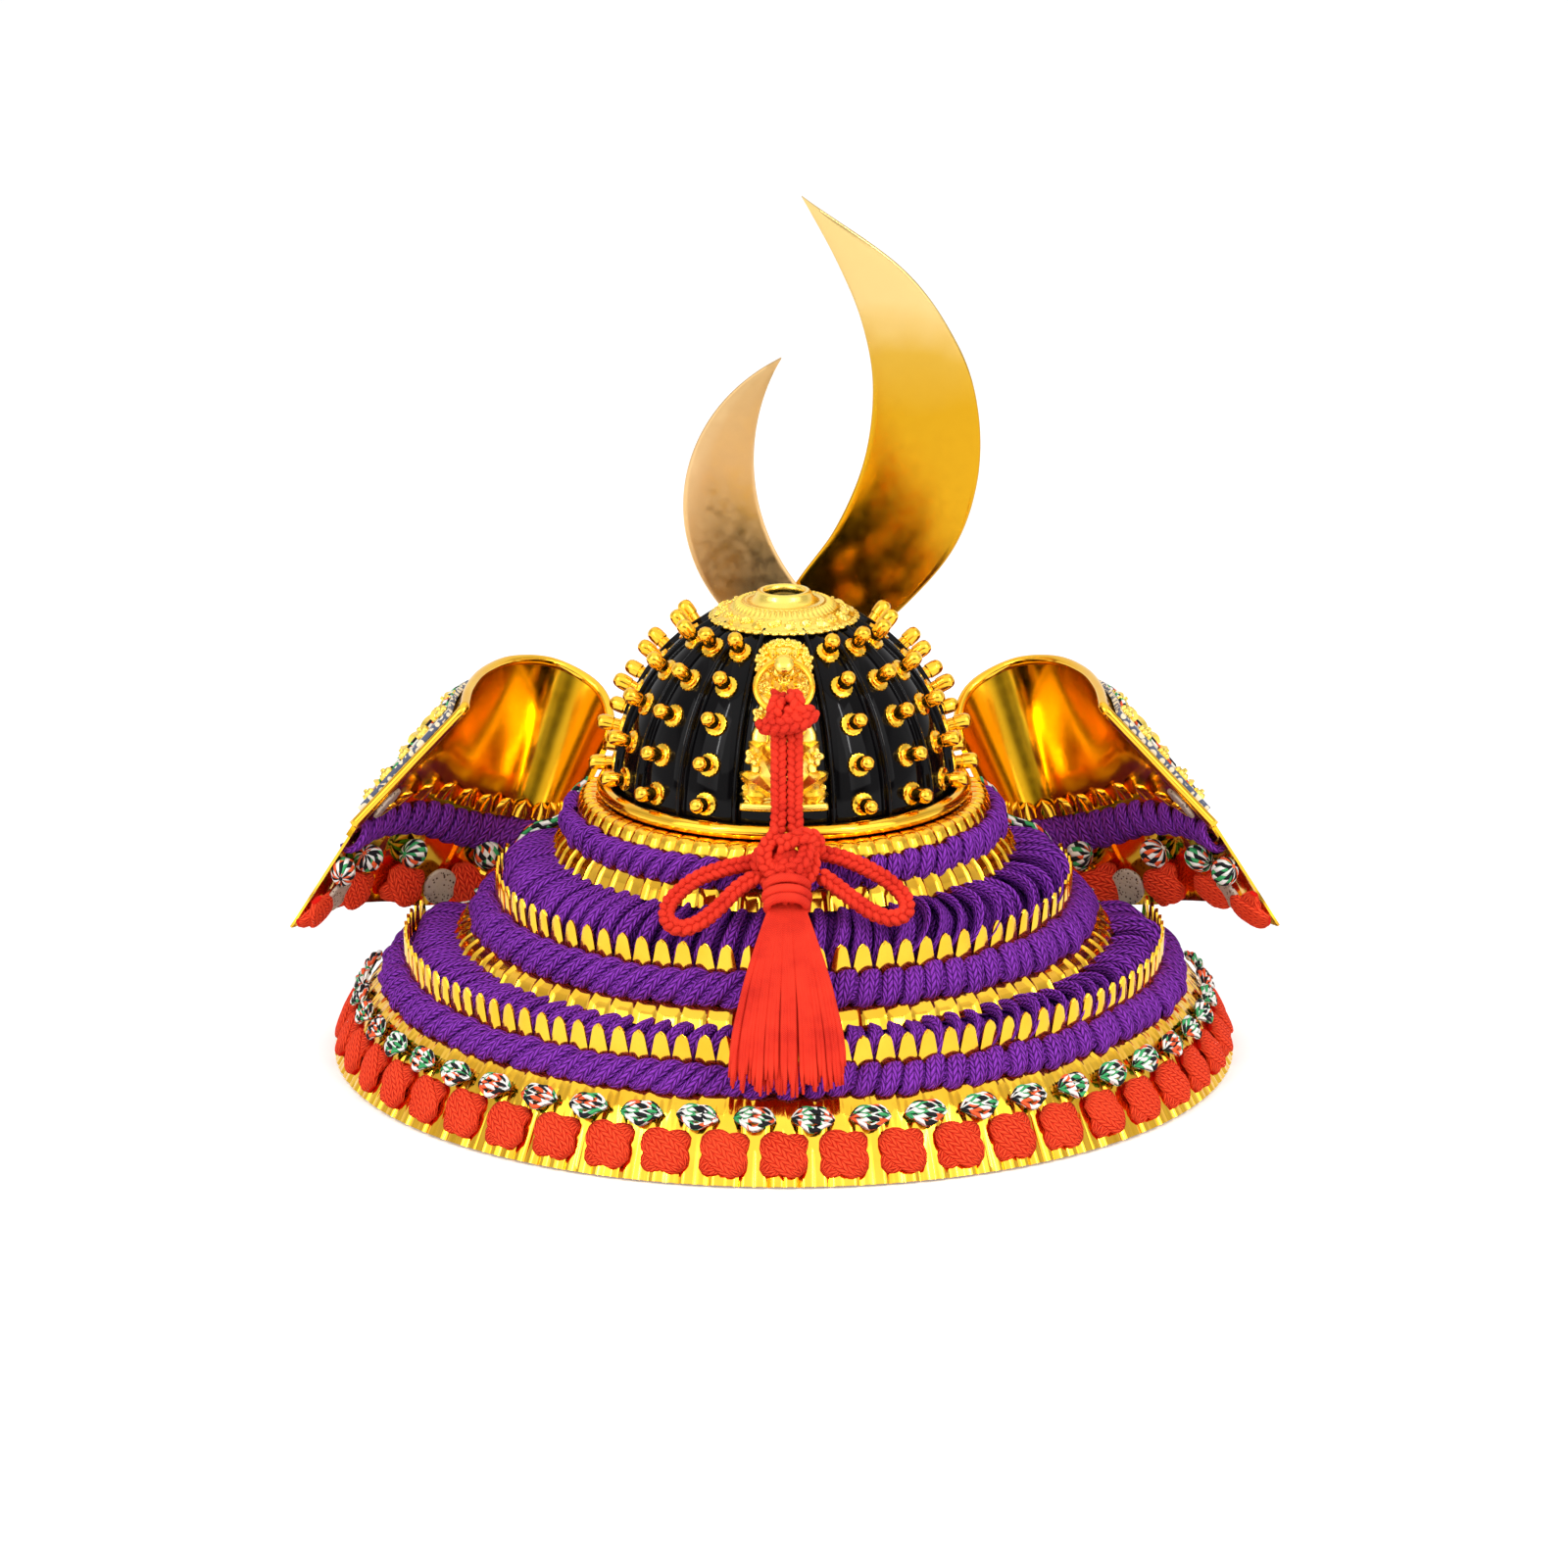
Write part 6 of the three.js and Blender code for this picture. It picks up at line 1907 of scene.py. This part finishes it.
# ---------- studio ----------
@dataclass
class Studio:
    """Pale floor, soft lights and the camera."""

    aim_height: float = 0.0595
    distance: float = 1.7
    elevation: float = 15.8
    lens: float = 180.1

    def build(self) -> None:
        """Sets up the whole studio."""
        self._camera()
        self._floor()
        self._world()
        self._lights()
        bpy.context.scene.view_settings.view_transform = "Standard"

    def _camera(self) -> None:
        """Camera behind the helmet, a little above it."""
        data = bpy.data.cameras.new("camera")
        data.lens = self.lens
        data.sensor_width = 36.0
        data.clip_end = 20.0
        camera = linked("camera", data)
        tilt = math.radians(self.elevation)
        aim = AXIS + Vector((0, 0, self.aim_height))
        camera.location = aim + self.distance * Vector((0, -math.cos(tilt), math.sin(tilt)))
        camera.rotation_euler = (aim - camera.location).to_track_quat("-Z", "Y").to_euler()
        bpy.context.scene.camera = camera

    def _floor(self) -> None:
        """Wide pale floor."""
        data = bpy.data.meshes.new("floor")
        half = 6.0
        data.from_pydata([(-half, -half, 0), (half, -half, 0), (half, half, 0), (-half, half, 0)], [], [(0, 1, 2, 3)])
        paper = bpy.data.materials.new("pale_paper")
        paper.use_nodes = True
        Bench(paper.node_tree).fill(paper.node_tree.nodes["Principled BSDF"], {
            "Base Color": (0.84, 0.84, 0.84, 1), "Roughness": 0.9, "Specular IOR Level": 0.0,
            "Emission Color": (1, 1, 1, 1), "Emission Strength": 0.18,
        })
        data.materials.append(paper)
        linked("floor", data)

    def _world(self) -> None:
        """White room above and behind the helmet, dark low down on the camera's side."""
        world = bpy.data.worlds.new("studio")
        world.use_nodes = True
        bpy.context.scene.world = world
        bench = Bench(world.node_tree)
        aside, along, up = bench.split(bench.value("ShaderNodeTexCoord", out="Generated"))
        above = self._greys(bench, up, ((0.22, 0.0), (0.42, 0.55), (0.8, 0.8)))
        behind = self._greys(bench, along, ((0.0, 0.05), (0.55, 0.95)))
        beside = self._greys(bench, abs(aside), ((0.0, 0.30), (0.12, 0.10), (0.24, 0.16), (0.40, 0.85), (0.62, 0.9),
                                                 (0.72, 0.12), (0.84, 0.10), (0.93, 0.8)))
        seen = bench.value("ShaderNodeMix", {
            "Factor": bench.value("ShaderNodeLightPath", out="Is Camera Ray"),
            "A": above.to("MAXIMUM", behind.to("MAXIMUM", beside)), "B": (1.0, 1.0, 1.0, 1.0),
        }, "Result", data_type="RGBA")
        bench.fill(world.node_tree.nodes["Background"], {"Color": seen, "Strength": 1.0})

    @staticmethod
    def _greys(bench: Bench, place: Value, stops: Sequence[tuple[float, float]]) -> Value:
        """A ramp of greys."""
        return bench.ramp(place, [(at, (grey,) * 3) for at, grey in stops])

    def _lights(self) -> None:
        """Soft boxes above, left and right, and a broad fill from behind the camera."""
        for name, place, size, power in (
            ("top", (0.0, 0.1, 1.5), (1.8, 1.8), 4.5),
            ("left", (-1.25, -0.9, 0.75), (1.0, 1.3), 6.5),
            ("right", (1.25, -0.9, 0.75), (1.0, 1.3), 6.5),
            ("fill", (0.0, -1.7, 1.4), (3.2, 1.8), 14.5),
            ("glint_left", (-1.0, -1.0, 1.1), (0.06, 0.9), 4.5),
            ("glint_right", (1.0, -1.0, 1.1), (0.06, 0.9), 4.5),
        ):
            data = bpy.data.lights.new(name, "AREA")
            data.shape = "RECTANGLE"
            data.size, data.size_y = size
            data.energy = power
            lamp = linked(name, data)
            lamp.location = place
            lamp.rotation_euler = (Vector((0, 0.0, 0.06)) - lamp.location).to_track_quat("-Z", "Y").to_euler()


def main() -> None:
    """Builds the helmet in its studio."""
    logging.basicConfig(level=logging.INFO, format="%(message)s")
    Studio().build()
    TiedCord().build()
    Bowl().build()
    Hoop("upper_hoop", "lame_1", 5.3, (
        (37.3, 57.4, 0, 0), (39.6, 57.9, 0.1, 0), (41.6, 58, 0.3, 0), (43.2, 57.4, 0.75, 0.1),
        (44.3, 55.6, 0.7, 0.2), (44.6, 52.6, 0.5, 0.3), (45.4, 50.8, 0.1, 0.4), (47.3, 49.8, 0, 0.5),
        (48.9, 48, 0, 0.5), (50.2, 45.5, 0, 0.5),
    )).build()
    Hoop("middle_hoop", "lame_2", 4.4167, (
        (61.4, 35.4, 0, 0.2), (61.6, 33.9, 0, 0.2), (64.6, 30.2, 0, 0.3), (68.4, 29.3, 0, 0.5),
        (70.4, 27.9, 0, 0.5), (71.8, 25.5, 0, 0.5),
    ), tip_foot=(61.6, 33.5), tip_count=48).build()
    Hoop("lower_hoop", "lame_3", 3.75, (
        (81.4, 22, 0, 0.1), (81.3, 20, 0, 0.2), (85.3, 17.3, 0, 0.35), (88.2, 15.9, 0.1, 0.45),
        (90.6, 12.6, 0.6, 0.5), (93.9, 6.4, 0.85, 0.5), (97.3, 0.25, 0.95, 0.5),
    ), tip_foot=(81.6, 19.8), tip_count=64, flutes=2).build()
    Rope("upper_rope", "rope_lacing_1", 46.1, 52.2, 1.6, 3.0, 90, 40).build()
    Rope("middle_rope", "rope_lacing_2", 65.1, 32.5, 1.6, 3.6, 53, 48).build()
    Rope("lower_rope", "rope_lacing_3", 84.8, 19.0, 1.5, 3.2, 45, 64).build()
    HangingLaces("upper_laces", "hanging_lacing_1", (48.4, 45.0), (56.2, 42.4), (58.6, 34.4), 46, 31).build()
    HangingLaces("lower_laces", "hanging_lacing_2", (69.4, 25.4), (76.2, 25.0), (78.8, 19.4), 61, 32).build()
    SewnWork().build()
    EdgeCord().build()
    for side in SIDES:
        Wing(side).build()
    Visor().build()
    Crest().build()


if __name__ == "__main__":
    main()
